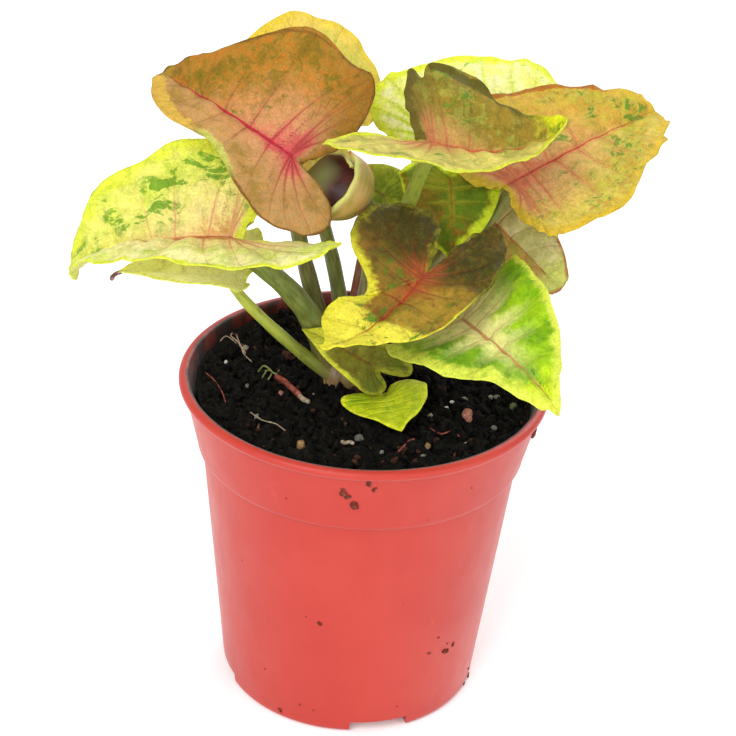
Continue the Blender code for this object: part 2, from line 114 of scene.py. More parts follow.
# Each leaf as the solids have it: joint, heading, pitch, roll, length, then pairs for the left and
# the right half, and the rest in the order of Leaf.
LEAVES = [
    Leaf("leaf_crimson", (-13, -2, 94.5), 159, 26, -44, 30, (13, 17.5), (11, 5.5), (21, 10), (13, -15),
         42, 4, 8, -1, (0.4, -0.2), 150, 2.6, 8, (-8, 4, 22), (1.4, 0.9)),
    Leaf("leaf_amber", (-11.5, 18, 92.5), 205, 33, -42, 19, (12, 20), (12, 15), (10, 10), (-10, -18),
         20, 8, 0, 0, (0, -0.05), 110, 2.2, 6, (0, 3, 20), (1.3, 0.8)),
    Leaf("leaf_cream", (-21.5, -6, 82), 172, -3, -24, 32.5, (13, 15.5), (20, 4), (36, 28), (-10, 0),
         36, -20, 38, 0, (0, -0.1), 190, 2.6, 3, (-4, -3, 18), (2.0, 1.2), (1, 0.7)),
    Leaf("leaf_under_cream", (-21, -2, 73), 174, 3, -14, 19.5, (8.5, 10), (3, 3.5), (30, 20), (0, -10),
         15, -10, 0, 0, (0, 0), 222, 3.6, 3, (-3, -1, 2), (1.1, 0.8)),
    Leaf("leaf_lime", (9, 19, 89.3), 20, 21.5, 26, 25, (13.5, 7), (7, 5), (18, 40), (-8, -10),
         24, 7, 8, 1, (0, 0), 60, 2.4, 6, (3, 3, 18), (1.2, 0.8), (0.45, 1)),
    Leaf("leaf_olive", (7.5, -5, 99.5), 12, -14, 12, 23.5, (14, 12.5), (4, 17), (30, 19), (-12, 0),
         -29, 12, -74, 0, (0, 0), 0, 2.4, 8, (5, 1, 30), (1.5, 1.0)),
    Leaf("leaf_pink", (21, 5, 89), 32, 21, 32, 30.5, (15.5, 13), (6, 2.5), (11, 18), (-25, 0),
         20, 20, 0, 0, (0, -0.25), 15, 3.0, 5, (10, -3, 17), (1.3, 0.9), (0.7, 0.45)),
    Leaf("leaf_edge_on", (15.7, 13, 81.5), -47, -14, 38, 21, (8, 7), (5, 5), (5, 5), (-10, -10),
         30, 10, 30, 0, (0, 0), 40, 2.8, 5, (6, 5, 14), (1.1, 0.8), (0.5, 0.6)),
    Leaf("leaf_front", (8, -14, 81.5), 236, -23, -8, 22, (9.5, 14), (14, 11), (4, 12), (0, -5),
         -15, 6, -20, -3.4, (-0.1, 0.6), -25, 2.8, 5, (7, 0, 13), (1.2, 0.8), (1, 1), 0.8),
    Leaf("leaf_green", (14.5, -12, 73.5), -62, 8, 12, 28, (13.5, 12), (8.5, 9), (22, 0), (0, -12),
         11, 45, 35, 0, (0, 0), -35, 3.0, 5, (4, 0, 8), (1.2, 0.8)),
    Leaf("leaf_low", (1, -6, 61), 161, 24, -27, 13, (5, 5), (4, 6), (12, 10), (-5, -10),
         20, -10, 0, 0, (0, 0), -75, 3.2, 1, (0, -1, 1), (0.9, 0.7)),
    Leaf("leaf_heart", (3.6, -9, 57), -73, 0, 6, 9, (7, 7), (4, 3), (10, 8), (-10, -12),
         6, 10, 0, 0, (0, 0), -50, 3.4, 1.5, (1, -2, 1), (0.7, 0.5)),
    Leaf("leaf_inner", (11.6, 6.5, 88.3), -80, -50, 4, 13, (8.5, 8), (3, 3), (7, 10), (-12, -10),
         20, 10, 0, 0, (0, 0), 50, 1.5, 3, (5, 5, 14), (1.1, 0.8)),
    Leaf("leaf_behind", (1.4, 9, 83.6), 166, 29, -28, 8.6, (4.6, 6), (5, 5), (10, 10), (-8, -10),
         25, 10, 0, 0, (0, 0), 80, 1.5, 4, (0, 2, 12), (1.0, 0.7)),
]

# Young leaf: a blade still rolled into a slanted cup, whose mouth looks to the left.
YOUNG_JOINT = (-2.2, 1.0, 86.4)
YOUNG_HEADING = 205.0
YOUNG_PITCH = 38.0
YOUNG_RADIUS = 3.9
YOUNG_LENGTH = 7.4
YOUNG_GROWTH = 0.32
YOUNG_SEAM = 165.0
YOUNG_BASE_TURN = 345.0
YOUNG_TURN = 395.0
YOUNG_FLARE = 4.0
YOUNG_FLARE_TURN = 300.0
YOUNG_STALK = (2.2, 1.5)
YOUNG_RISE = (5, -1, 14)
YOUNG_NECK = 3.0

# What only the scene has. Blades: their thickness, the gaps between corners round the edge and
# outward from the joint, and how strong their ruffle and relief are.
SKIN_THICKNESS = 0.5
EDGE_GAP = 0.5
ROW_GAP = 0.55
RUFFLE_SHARE = 0.014
QUILT_DEPTH = 0.32
QUILT_REACH = 1.5
CREASE_DEPTH = 0.22
SWELL_DEPTH = 0.30
BLISTER_DEPTH = 0.22

# Stalks: how much wider they are at the foot and at the seat, and how deep their channel is.
STALK_FOOT_FLARE = 0.35
STALK_SEAT_FLARE = 0.18
STALK_CHANNEL = 0.14

# Pot and soil: how finely the pot is turned, half the width of its rolled lip, how far the soil is
# banked up against the wall at the back left, how deep its crumbs are, and how many loose grains lie
# on it, how big they get and which shares of them are pale bits and bark.
POT_SIDES = 192
LIP_ROUND = 0.95
SOIL_BANK = 2.0
CRUMB_DEPTH = 1.9
GRAIN_COUNT = 3200
GRAIN_LIMIT = 1.1
PALE_SHARE = 0.012
BARK_SHARE = 0.058

# The camera, in millimetres and degrees, that sees the plant as the photo does.
PHOTO_SIZE = 736
LENS = 105.0
SENSOR = 36.0
CAMERA_TARGET = Vector((0.5, 0.0, 57.3))
CAMERA_DISTANCE = 347.0
CAMERA_RISE = 29.6
CAMERA_ROLL = 3.54


def rgb(red, green, blue):
    """A colour seen in the photo, 0 to 255, as the linear colour that shaders take."""
    linear = []
    for value in (red, green, blue):
        share = value / 255
        linear.append(share / 12.92 if share <= 0.04045 else ((share + 0.055) / 1.055) ** 2.4)
    return (*linear, 1.0)


class Paint:
    """A material's nodes, written as sums."""

    def __init__(self, name):
        self.made = bpy.data.materials.new(name)
        self.made.use_nodes = True
        self.tree = self.made.node_tree
        self.shader = self.tree.nodes["Principled BSDF"]
        self.out = self.tree.nodes["Material Output"]

    def add(self, kind, **settings):
        node = self.tree.nodes.new(kind)
        for key, value in settings.items():
            setattr(node, key, value)
        return node

    def put(self, socket, value):
        """Links a socket, or sets it to a number or to a colour as seen in the photo."""
        if isinstance(value, bpy.types.NodeSocket):
            self.tree.links.new(value, socket)
        elif socket.type == "RGBA" and len(value) == 3:
            socket.default_value = rgb(*value)
        else:
            socket.default_value = value

    def attribute(self, name, output="Fac"):
        return self.add("ShaderNodeAttribute", attribute_name=name).outputs[output]

    def math(self, operation, a, b=0.0):
        node = self.add("ShaderNodeMath", operation=operation)
        self.put(node.inputs[0], a)
        self.put(node.inputs[1], b)
        return node.outputs[0]

    def plus(self, a, b):
        return self.math("ADD", a, b)

    def less(self, a, b):
        return self.math("SUBTRACT", a, b)

    def times(self, first, *others):
        for other in others:
            first = self.math("MULTIPLY", first, other)
        return first

    def step(self, value, low, high, start=0.0, end=1.0):
        """start below low, end above high, with a smooth change between."""
        node = self.add("ShaderNodeMapRange", interpolation_type="SMOOTHSTEP")
        for socket, given in zip(node.inputs[:5], (value, low, high, start, end)):
            self.put(socket, given)
        return node.outputs[0]

    def noise(self, where, scale, detail=3.0, roughness=0.55, distortion=0.0):
        node = self.add("ShaderNodeTexNoise")
        self.put(node.inputs["Vector"], where)
        node.inputs["Scale"].default_value = scale
        node.inputs["Detail"].default_value = detail
        node.inputs["Roughness"].default_value = roughness
        node.inputs["Distortion"].default_value = distortion
        return node.outputs["Fac"]

    def cells(self, where, scale, feature="F1", output="Distance"):
        node = self.add("ShaderNodeTexVoronoi", feature=feature)
        self.put(node.inputs["Vector"], where)
        node.inputs["Scale"].default_value = scale
        return node.outputs[output]

    def mix(self, share, a, b, blend="MIX"):
        node = self.add("ShaderNodeMix", data_type="RGBA", blend_type=blend)
        self.put(node.inputs[0], share)
        self.put(node.inputs[6], a)
        self.put(node.inputs[7], b)
        return node.outputs[2]

    def stretch(self, where, scale):
        node = self.add("ShaderNodeMapping")
        self.put(node.inputs["Vector"], where)
        node.inputs["Scale"].default_value = scale
        return node.outputs[0]

    def bump(self, height, distance, strength=1.0):
        node = self.add("ShaderNodeBump")
        node.inputs["Strength"].default_value = strength
        node.inputs["Distance"].default_value = distance
        self.put(node.inputs["Height"], height)
        return node.outputs[0]

    def shine(self, **values):
        """Sets the shader's own inputs, named with _ for a space."""
        for name, value in values.items():
            self.shader.inputs[name.replace("_", " ")].default_value = value

    def finish(self, colour, roughness, normal=None, glow=0.0):
        """Joins what was painted to the shader, with a share of glow that lets light through."""
        self.put(self.shader.inputs["Base Color"], colour)
        self.put(self.shader.inputs["Roughness"], roughness)
        if normal is not None:
            self.put(self.shader.inputs["Normal"], normal)
        if glow:
            through = self.add("ShaderNodeBsdfTranslucent")
            self.put(through.inputs["Color"], colour)
            both = self.add("ShaderNodeMixShader")
            both.inputs[0].default_value = glow
            self.put(both.inputs[1], self.shader.outputs[0])
            self.put(both.inputs[2], through.outputs[0])
            self.put(self.out.inputs["Surface"], both.outputs[0])
        return self.made


@dataclass
class Look:
    """The colours of one blade, as seen in the photo, 0 to 255. Left is seen from above, as in Leaf.

    left, right: colour of that half, its share.
    mottle: colour, amount on the left, on the right, grains to the mm.
    stain, fleck: colour, amount, grains to the mm, share of it on the left.
    margin: colour, width on the left, on the right, in mm.
    lips: one for each stretch of edge: colour, side, from and to in shares of the length, width.
    back: painted shade on the lobes: its colour, share on the left, on the right.
    centre, heart: colour, how far it reaches from the joint as a share of the blade.
    tip: colour, where it starts. patch: colour, strength.
    rib: colour, strength, width, where it fades. vein: colour, strength, width.
    halo: colour along the veins, width in mm, reach, how sharp. under: colour of the underside.
    bites: place round the edge from the tip, under 0 on the right, depth in mm, spread.
    glow: light let through. teeth, wavy: fine and broad waves of the edge. relief: how quilted.
    """

    main: tuple
    left: tuple = ()
    right: tuple = ()
    mottle: tuple = ()
    margin: tuple = ()
    centre: tuple = ()
    heart: tuple = ()
    tip: tuple = ()
    rib: tuple = ()
    vein: tuple = ()
    halo: tuple = ()
    patch: tuple = ()
    fleck: tuple = ()
    stain: tuple = ()
    back: tuple = ()
    lips: tuple = ()
    bites: tuple = ()
    under: tuple = ()
    glow: float = 0.25
    teeth: float = 0.006
    wavy: float = 0.010
    relief: float = 1.0


LOOKS = {
    "leaf_crimson": Look(
        main=(210, 164, 96), left=((208, 164, 104), 0.7), right=((180, 132, 38), 0.9),
        mottle=((200, 112, 26), 0.30, 0.75, 0.9), stain=((136, 112, 24), 0.75, 0.42, 0.2),
        margin=((140, 96, 38), 0.3, 0.25), centre=((224, 160, 110), 0.55), heart=((218, 84, 92), 0.22),
        tip=((186, 170, 52), 0.86), rib=((190, 44, 62), 0.95, 0.5, 0.55),
        vein=((164, 54, 52), 0.75, 0.24), halo=((216, 92, 90), 0.9, 0.42, 0.0),
        patch=((150, 126, 36), 0.6),
        lips=(((222, 182, 76), 1, 0.42, 1.1, 1.6), ((206, 206, 100), 1, 0.10, 0.5, 1.0)),
        # back: painted shade darkening the lobes, mostly the right one
        back=((122, 90, 32), 0.12, 0.5),
        bites=((0.17, -2.0, 0.10), (-0.34, -0.7, 0.05), (-0.2, 0.6, 0.04)),
        fleck=((98, 124, 20), 0.5, 0.9, 0.3), under=(206, 196, 110), teeth=0.010, wavy=0.02,
        relief=1.3),
    "leaf_amber": Look(
        main=(246, 218, 98), left=((242, 208, 106), 0.5), margin=((240, 214, 62), 1.4, 1.4),
        centre=((228, 192, 104), 0.5), rib=((236, 176, 86), 0.5, 0.5, 0.8),
        vein=((228, 184, 82), 0.3, 0.26), patch=((206, 208, 84), 0.7), under=(234, 206, 110)),
    "leaf_cream": Look(
        main=(244, 238, 126), left=((255, 246, 182), 0.9), right=((238, 238, 112), 0.5),
        mottle=((214, 228, 70), 0.15, 0.45, 0.7), margin=((228, 236, 70), 0.8, 2.0),
        centre=((248, 228, 152), 0.60), heart=((208, 132, 58), 0.19),
        rib=((186, 88, 40), 0.9, 0.45, 0.15), vein=((214, 136, 86), 0.7, 0.24),
        halo=((246, 208, 146), 0.7, 0.62, 0.0), patch=((204, 222, 62), 0.6),
        fleck=((104, 158, 34), 0.9, 0.42, 0.25), stain=((198, 218, 62), 0.35, 0.5, 1.0),
        under=(236, 240, 130),
        bites=((-0.42, -0.9, 0.04), (-0.52, 0.7, 0.03), (-0.30, 0.6, 0.04), (-0.22, -0.6, 0.04)),
        relief=2.0, teeth=0.010, wavy=0.022),
    "leaf_under_cream": Look(
        main=(255, 254, 190), margin=((250, 252, 130), 0.6, 0.6), rib=((255, 254, 210), 0.6, 0.5, 0.8),
        vein=((240, 242, 130), 0.4, 0.26), patch=((250, 251, 140), 0.5), under=(252, 252, 180),
        glow=0.3),
    "leaf_lime": Look(
        main=(250, 250, 140), mottle=((255, 254, 214), 0.7, 0.7, 0.35),
        margin=((236, 246, 66), 1.4, 1.0), centre=((254, 252, 200), 0.6),
        rib=((212, 226, 70), 0.6, 0.5, 0.8), vein=((200, 220, 50), 1.0, 0.40),
        halo=((226, 240, 76), 0.7, 1.2, 0.3), fleck=((150, 200, 40), 0.5, 0.6, 1.0),
        under=(236, 244, 130), relief=1.6, teeth=0.012, wavy=0.02),
    "leaf_olive": Look(
        main=(200, 168, 80), left=((168, 140, 46), 0.95), right=((236, 222, 112), 0.95),
        mottle=((112, 114, 28), 0.6, 0.0, 0.7), stain=((186, 200, 84), 0.35, 0.6, 1.0),
        margin=((224, 228, 70), 0.0, 0.8), centre=((216, 168, 98), 0.44), heart=((206, 116, 70), 0.14),
        tip=((228, 230, 36), 0.74), rib=((204, 100, 64), 0.8, 0.36, 0.6),
        vein=((186, 104, 64), 0.5, 0.22), halo=((212, 140, 88), 0.7, 0.5, 0.0),
        patch=((120, 104, 30), 0.4), lips=(((106, 98, 28), 1, -0.6, 0.75, 1.4),),
        # back: painted shade darkening the left lobe
        back=((112, 96, 30), 0.7, 0.0),
        bites=((0.26, 0.9, 0.035), (0.36, -1.6, 0.05), (0.51, 2.6, 0.045), (0.60, -0.8, 0.04)),
        fleck=((100, 140, 36), 0.6, 0.5, 1.0), under=(196, 196, 96), teeth=0.016, wavy=0.02,
        relief=1.5),
    "leaf_pink": Look(
        main=(226, 196, 98), left=((214, 168, 60), 0.8), right=((222, 204, 92), 0.6),
        mottle=((206, 196, 62), 0.6, 0.6, 0.7), stain=((204, 142, 50), 0.5, 0.5, 1.0),
        margin=((222, 190, 56), 0.9, 1.3), centre=((230, 176, 116), 0.60),
        heart=((228, 120, 90), 0.22), rib=((212, 76, 70), 0.85, 0.42, 0.7),
        vein=((206, 104, 72), 0.6, 0.22), halo=((228, 148, 98), 0.8, 0.8, 0.0),
        patch=((186, 188, 66), 0.7), lips=(((184, 116, 36), 1, 0.1, 0.85, 0.9),),
        fleck=((96, 148, 48), 0.8, 0.5, 1.0), under=(214, 190, 96), teeth=0.030, relief=1.6),
    "leaf_edge_on": Look(
        main=(202, 180, 112), left=((226, 212, 164), 0.8), right=((186, 124, 62), 0.8),
        mottle=((150, 158, 60), 0.3, 0.5, 0.5), margin=((184, 134, 74), 0.4, 0.4),
        rib=((176, 96, 62), 0.7, 0.5, 0.7), vein=((172, 108, 72), 0.5, 0.24),
        patch=((160, 168, 72), 0.5), tip=((200, 204, 104), 0.72), under=(214, 206, 140)),
    "leaf_front": Look(
        main=(162, 120, 40), left=((178, 142, 46), 0.75), right=((146, 104, 36), 0.6),
        mottle=((112, 108, 28), 0.5, 0.5, 0.7), stain=((116, 62, 26), 0.5, 0.5, 1.0),
        margin=((226, 218, 56), 0.25, 1.1), centre=((164, 92, 38), 0.36), heart=((170, 66, 40), 0.12),
        tip=((236, 224, 72), 0.42), rib=((164, 58, 36), 0.9, 0.42, 0.45),
        vein=((132, 50, 30), 0.8, 0.24), halo=((180, 96, 44), 0.8, 0.36, 0.0),
        patch=((90, 110, 28), 0.6), fleck=((70, 128, 26), 0.7, 0.5, 1.0),
        # back: painted shade, nearly black, on both lobes
        back=((58, 54, 12), 0.92, 0.92), under=(150, 140, 60), glow=0.15, teeth=0.016, wavy=0.02,
        relief=1.8),
    "leaf_green": Look(
        main=(140, 198, 22), left=((180, 218, 28), 0.85), right=((176, 204, 52), 0.6),
        mottle=((92, 160, 16), 0.5, 0.5, 0.5), margin=((230, 240, 88), 1.0, 2.2),
        centre=((240, 238, 124), 0.44), heart=((252, 232, 164), 0.28), tip=((224, 242, 46), 0.70),
        rib=((214, 150, 98), 0.9, 0.5, 0.7), vein=((222, 180, 110), 0.7, 0.3),
        halo=((255, 246, 164), 1.9, 0.86, 0.5), patch=((96, 160, 18), 0.6),
        fleck=((66, 134, 14), 0.5, 0.5, 1.0), under=(200, 218, 110), relief=1.7, teeth=0.008,
        wavy=0.012),
    # leaf_low: its dark olive main colour is partly painted shade from the leaves above it.
    "leaf_low": Look(
        main=(132, 130, 40), margin=((214, 214, 60), 0.6, 0.9), tip=((204, 208, 60), 0.5),
        mottle=((92, 74, 26), 0.6, 0.6, 0.5), rib=((120, 60, 34), 0.6, 0.4, 0.7),
        # back: painted shade darkening the lobes
        patch=((110, 134, 34), 0.7), back=((92, 98, 26), 0.7, 0.7), under=(120, 130, 50), glow=0.12),
    "leaf_heart": Look(
        main=(208, 220, 34), margin=((228, 234, 48), 0.5, 0.5), rib=((214, 222, 74), 0.6, 0.34, 0.7),
        mottle=((150, 184, 22), 0.6, 0.6, 0.6), patch=((136, 176, 22), 0.7), under=(170, 190, 60),
        glow=0.15),
    # leaf_inner: its dark green main colour is partly painted shade from the leaves above it.
    "leaf_inner": Look(
        main=(104, 130, 20), margin=((206, 224, 40), 1.5, 0.5), patch=((152, 92, 30), 0.6),
        mottle=((60, 84, 16), 0.5, 0.6, 0.5), fleck=((184, 92, 34), 0.7, 0.4, 1.0),
        halo=((156, 160, 32), 0.6, 0.9, 0.0), rib=((150, 84, 34), 0.6, 0.4, 0.7),
        vein=((136, 126, 36), 0.6, 0.26), under=(110, 130, 50), glow=0.12),
    "leaf_behind": Look(
        main=(176, 190, 48), margin=((210, 218, 64), 0.8, 0.8), patch=((112, 140, 30), 0.7),
        mottle=((196, 204, 60), 0.5, 0.5, 0.5), rib=((120, 60, 34), 0.5, 0.4, 0.7),
        under=(150, 170, 70)),
}


def leaf_colour(p, look, place):
    """A leaf's colour, laid on in washes, blotches, flecks and veins, with painted shade on the lobes.

    Fine noise and the distance to the nearest vein come back with it, for the relief.
    """
    edge, out, across, along = (p.attribute(name) for name in ("edge", "out", "rib", "along"))
    slow = p.noise(place, 0.16, 3, 0.6)
    medium = p.noise(place, 0.6, 4, 0.6)
    fine = p.noise(place, 2.6, 4, 0.65)
    grain = p.noise(place, 1.2, 4, 0.7)
    wobble = p.less(medium, 0.5)
    nearest = p.math("MINIMUM", p.math("ABSOLUTE", p.attribute("vein_a")),
                     p.math("ABSOLUTE", p.attribute("vein_b")))
    trunk = p.plus(p.math("ABSOLUTE", across), p.step(along, 0.0, -0.05, 0.0, 9.0))

    def sides(left, right):
        return p.step(across, -0.5, 0.5, right, left)

    def strayed(value, amount):
        return p.plus(value, p.times(wobble, amount))

    colour = look.main
    left_share = p.step(strayed(across, 2.0), -0.6, 0.8)
    if look.left:
        colour = p.mix(p.times(left_share, look.left[1]), colour, look.left[0])
    if look.right:
        colour = p.mix(p.times(p.less(1.0, left_share), look.right[1]), colour, look.right[0])
    if look.patch:
        share = p.step(p.plus(slow, p.times(medium, 0.35)), 0.60, 0.80)
        colour = p.mix(p.times(share, look.patch[1]), colour, look.patch[0])
    if look.mottle:
        mottle, on_left, on_right, scale = look.mottle
        share = p.step(p.noise(place, scale, 5, 0.7), 0.42, 0.66)
        colour = p.mix(p.times(share, sides(on_left, on_right)), colour, mottle)
    if look.stain:
        stain, amount, scale, on_left = look.stain
        spots = p.plus(p.noise(place, scale, 4, 0.62, 0.8), p.times(p.less(slow, 0.5), 0.5))
        share = p.times(p.step(spots, 0.50, 0.62), p.step(out, 0.2, 0.5, 0.3, amount), sides(on_left, 1.0))
        colour = p.mix(share, colour, stain)
    if look.tip:
        colour = p.mix(p.step(strayed(along, 0.35), look.tip[1], look.tip[1] + 0.14), colour, look.tip[0])
    for spot in (look.centre, look.heart):
        if spot:
            share = p.step(strayed(out, 0.45), spot[1] * 1.35, spot[1] * 0.3, 0.0, 0.92)
            colour = p.mix(share, colour, spot[0])
    if look.fleck:
        fleck, amount, scale, on_left = look.fleck
        streaks = p.noise(p.stretch(place, (0.6, 1.0, 1.0)), scale, 4, 0.7, 0.5)
        level = 0.70 - 0.2 * amount
        share = p.times(p.step(streaks, level, level + 0.05), p.step(slow, 0.38, 0.56),
                        p.step(out, 0.25, 0.45), sides(0.85 * on_left, 0.85))
        colour = p.mix(share, colour, fleck)
    if look.margin:
        width = sides(look.margin[1], look.margin[2])
        reach = p.plus(edge, p.times(wobble, p.times(width, 3.0)))
        share = p.times(p.step(reach, p.times(width, 1.5), p.times(width, 0.3)), p.step(width, 0.05, 0.3))
        colour = p.mix(share, colour, look.margin[0])
    for lip, side, start, end, width in look.lips:
        near = p.step(strayed(edge, 1.6 * width), width, width * 0.6)
        share = p.times(near, p.step(across, 0.0, 0.5 * side), p.step(along, start, start + 0.12),
                        p.step(along, end, end - 0.12))
        colour = p.mix(share, colour, lip)
    # Painted shade: the lobes behind the joint darken towards the back colour, broken up by grain.
    if look.back:
        share = p.times(p.step(strayed(along, 0.4), 0.14, -0.14), p.step(grain, 0.34, 0.6, 0.78, 1.0),
                        sides(look.back[1], look.back[2]))
        colour = p.mix(share, colour, look.back[0])
    if look.halo:
        halo, width, reach, sharp = look.halo
        ragged = p.plus(fine, p.times(p.less(grain, 0.5), sharp * 2))
        close = p.math("MINIMUM", nearest, p.times(trunk, 0.6))
        close = p.plus(close, p.times(p.less(ragged, 0.5), width * 1.3))
        share = p.times(p.step(close, width, width * sharp), p.step(out, reach, reach * 0.35), 0.85)
        colour = p.mix(share, colour, halo)
    if look.vein:
        vein, strength, width = look.vein
        here = p.step(out, 0.0, 1.1, width, width * 0.35)
        share = p.times(p.step(nearest, here, p.times(here, 0.15)), p.step(fine, 0.25, 0.6, 0.45, 1.0),
                        p.step(out, 0.2, 0.95, strength, strength * 0.15))
        colour = p.mix(share, colour, vein)
    if look.rib:
        rib, strength, width, fade_at = look.rib
        here = p.step(along, -0.1, 1.0, width, width * 0.25)
        share = p.times(p.step(trunk, here, p.times(here, 0.3)),
                        p.step(along, fade_at, fade_at + 0.4, strength, 0.12))
        colour = p.mix(share, colour, rib)
    return colour, fine, nearest


def leaf_material(name, look, seed, below=False):
    """A variegated leaf skin with quilted relief between its veins."""
    p = Paint(name)
    shift = p.add("ShaderNodeVectorMath", operation="ADD")
    p.put(shift.inputs[0], p.attribute("flat", "Vector"))
    shift.inputs[1].default_value = (seed * 31.0, seed * 17.0, seed * 7.0)
    place = shift.outputs[0]
    colour, fine, nearest = leaf_colour(p, look, place)
    if below:
        colour = p.mix(0.55, colour, look.under)
    grain = p.noise(place, 9.0, 2, 0.6)
    broad = p.noise(place, 0.9, 3, 0.6)
    tone = p.plus(p.plus(p.times(fine, 0.4), p.times(grain, 0.25)), p.times(broad, 0.35))
    tint = p.add("ShaderNodeHueSaturation")
    p.put(tint.inputs["Value"], p.step(tone, 0.36, 0.64, 0.80, 1.16))
    p.put(tint.inputs["Color"], colour)
    cells = p.step(p.cells(place, 1.5, "DISTANCE_TO_EDGE"), 0.0, 0.12)
    height = p.plus(p.times(cells, 0.5), p.times(grain, 0.5))
    height = p.plus(height, p.times(p.step(nearest, 0.0, 0.35), -1.0 if below else 1.0))
    p.shine(Specular_IOR_Level=0.15)
    roughness = p.step(fine, 0.2, 0.8, 0.40, 0.58)
    return p.finish(tint.outputs[0], roughness, p.bump(height, 0.00014, 0.8), look.glow)


def through_knots(knots, steps):
    """Points along a Catmull-Rom curve that passes through the knots, ends included."""
    rows = np.array(knots, float)
    padded = np.vstack([2 * rows[0] - rows[1], rows, 2 * rows[-1] - rows[-2]])
    places = np.linspace(0, len(rows) - 1, steps + 1)
    first = np.minimum(places.astype(int), len(rows) - 2)
    part = (places - first)[:, None]
    a, b, c, d = (padded[first + shift] for shift in range(4))
    return 0.5 * (2 * b + (c - a) * part + (2 * a - 5 * b + 4 * c - d) * part**2
                  + (3 * b - a - 3 * c + d) * part**3)


def half_outline(leaf, index, steps):
    """The blade's flat edge on one side, from the tip round the lobe to the sinus floor."""
    knots = HALF_BLADE + [(-SINUS_FLOOR / leaf.lobe[index], 0.0)]
    points = through_knots(knots, steps)
    waist = 1 - leaf.waist[index] * np.exp(-((points[:, 0] - WAIST_AT) / WAIST_SPREAD) ** 2)
    x = np.where(points[:, 0] > 0, points[:, 0] * leaf.length, points[:, 0] * leaf.lobe[index])
    slope = np.where(points[:, 0] < -0.1, points[:, 1] / np.maximum(-points[:, 0], 0.1), 1.0)
    closing = (1 - leaf.sinus) * np.clip(2 * (1 - slope), 0, 1)
    y = np.maximum(points[:, 1], 0.0) * (SINUS_SLOPE / np.maximum(slope, SINUS_SLOPE)) ** closing
    y = y ** np.where(points[:, 0] > 0, leaf.fullness[index], 1.0) * waist * leaf.width[index]
    return np.stack([x, y], axis=1)


def bent(leaf, x, y, index):
    """Bends flat points of one side of the blade, as the CAD solids are bent."""
    fold = math.radians(leaf.fold[index])
    curl = math.radians(leaf.curl[index]) / leaf.width[index] or 1e-6
    across = (np.sin(fold + curl * y) - math.sin(fold)) / curl
    lift = (math.cos(fold) - np.cos(fold + curl * y)) / curl
    ahead = x >= 0
    span = np.where(ahead, leaf.length, -max(leaf.lobe))
    droop = np.radians(np.where(ahead, leaf.droop, -leaf.lobe_droop))
    hook = np.radians(np.where(ahead, leaf.hook, 0.0))
    share = x / span
    at = (np.arange(BEND_PIECES) + 0.5)[:, None] / BEND_PIECES * share
    slope = -(droop * at + hook * at**4)
    along = np.cos(slope).sum(0) * span * share / BEND_PIECES
    height = np.sin(slope).sum(0) * span * share / BEND_PIECES
    slope = -(droop * share + hook * share**4)
    sideways = np.where(ahead, leaf.bend * share**2, 0.0)
    side = 1 if index == 0 else -1
    return np.stack([along - np.sin(slope) * lift, side * across + sideways,
                     height + np.cos(slope) * lift], axis=1)


def leaf_matrix(leaf):
    """From a blade's own space, in metres, to its place on the plant."""
    turn = Matrix.Rotation(math.radians(leaf.heading), 4, "Z")
    tilt = Matrix.Rotation(math.radians(-leaf.pitch), 4, "Y")
    roll = Matrix.Rotation(math.radians(leaf.roll), 4, "X")
    return Matrix.Translation(Vector(leaf.joint) * MM) @ turn @ tilt @ roll


# Where the side veins of a half leave the midrib, as shares of its length, and where they meet the
# edge, as shares of the way from the tip round to the sinus.
VEIN_STARTS = [0.76, 0.60, 0.43, 0.27, 0.12, 0.02, 0.0, 0.0, 0.0]
VEIN_ENDS = [0.10, 0.18, 0.26, 0.34, 0.42, 0.50, 0.58, 0.66, 0.745]


def vein_lines(leaf, index, rng):
    """The side veins of one half, as flat lines from the midrib or the joint to near the edge."""
    edge = half_outline(leaf, index, 200)
    lines = []
    for start, end in zip(VEIN_STARTS, VEIN_ENDS):
        first = np.array([max(0.0, start + rng.uniform(-0.02, 0.02)) * leaf.length, 0.0])
        last = edge[int(round((end + rng.uniform(-0.012, 0.012)) * 200))] * 0.95
        if start > 0.01:
            middle = np.array([first[0] + 0.28 * (last[0] - first[0]), 0.55 * last[1]])
        else:
            middle = 0.5 * (first + last) + np.array([0.06 * leaf.length, 0.0])
        t = np.linspace(0, 1, 13)[:, None]
        lines.append(first * (1 - t) ** 2 + middle * 2 * t * (1 - t) + last * t**2)
    return lines


def signed_distance(points, line):
    """Signed distance in the flat blade from each point to a line of short pieces."""
    a, b = line[:-1], line[1:]
    d = b - a
    off = points[:, None] - a[None]
    t = np.clip((off * d).sum(2) / (d * d).sum(1), 0, 1)
    away = off - t[..., None] * d
    length = np.sqrt((away**2).sum(2))
    nearest = length.argmin(1)
    rows = np.arange(len(points))
    turn = d[nearest, 0] * off[rows, nearest, 1] - d[nearest, 1] * off[rows, nearest, 0]
    return np.where(turn < 0, -1, 1) * length[rows, nearest]


def link(name, data):
    """Puts a mesh, a lamp or a camera into the scene."""
    made = bpy.data.objects.new(name, data)
    bpy.context.scene.collection.objects.link(made)
    return made


def make_mesh(name, points, faces, smooth=True, **fields):
    """A mesh from points in mm, with a value or a vector for each point in every field."""
    mesh = bpy.data.meshes.new(name)
    mesh.from_pydata(np.array(points) * MM, [], faces)
    mesh.update()
    for field, values in fields.items():
        values = np.asarray(values, np.float32)
        kind, slot = ("FLOAT", "value") if values.ndim == 1 else ("FLOAT_VECTOR", "vector")
        mesh.attributes.new(field, kind, "POINT").data.foreach_set(slot, values.ravel())
    if smooth:
        mesh.shade_smooth()
    return mesh


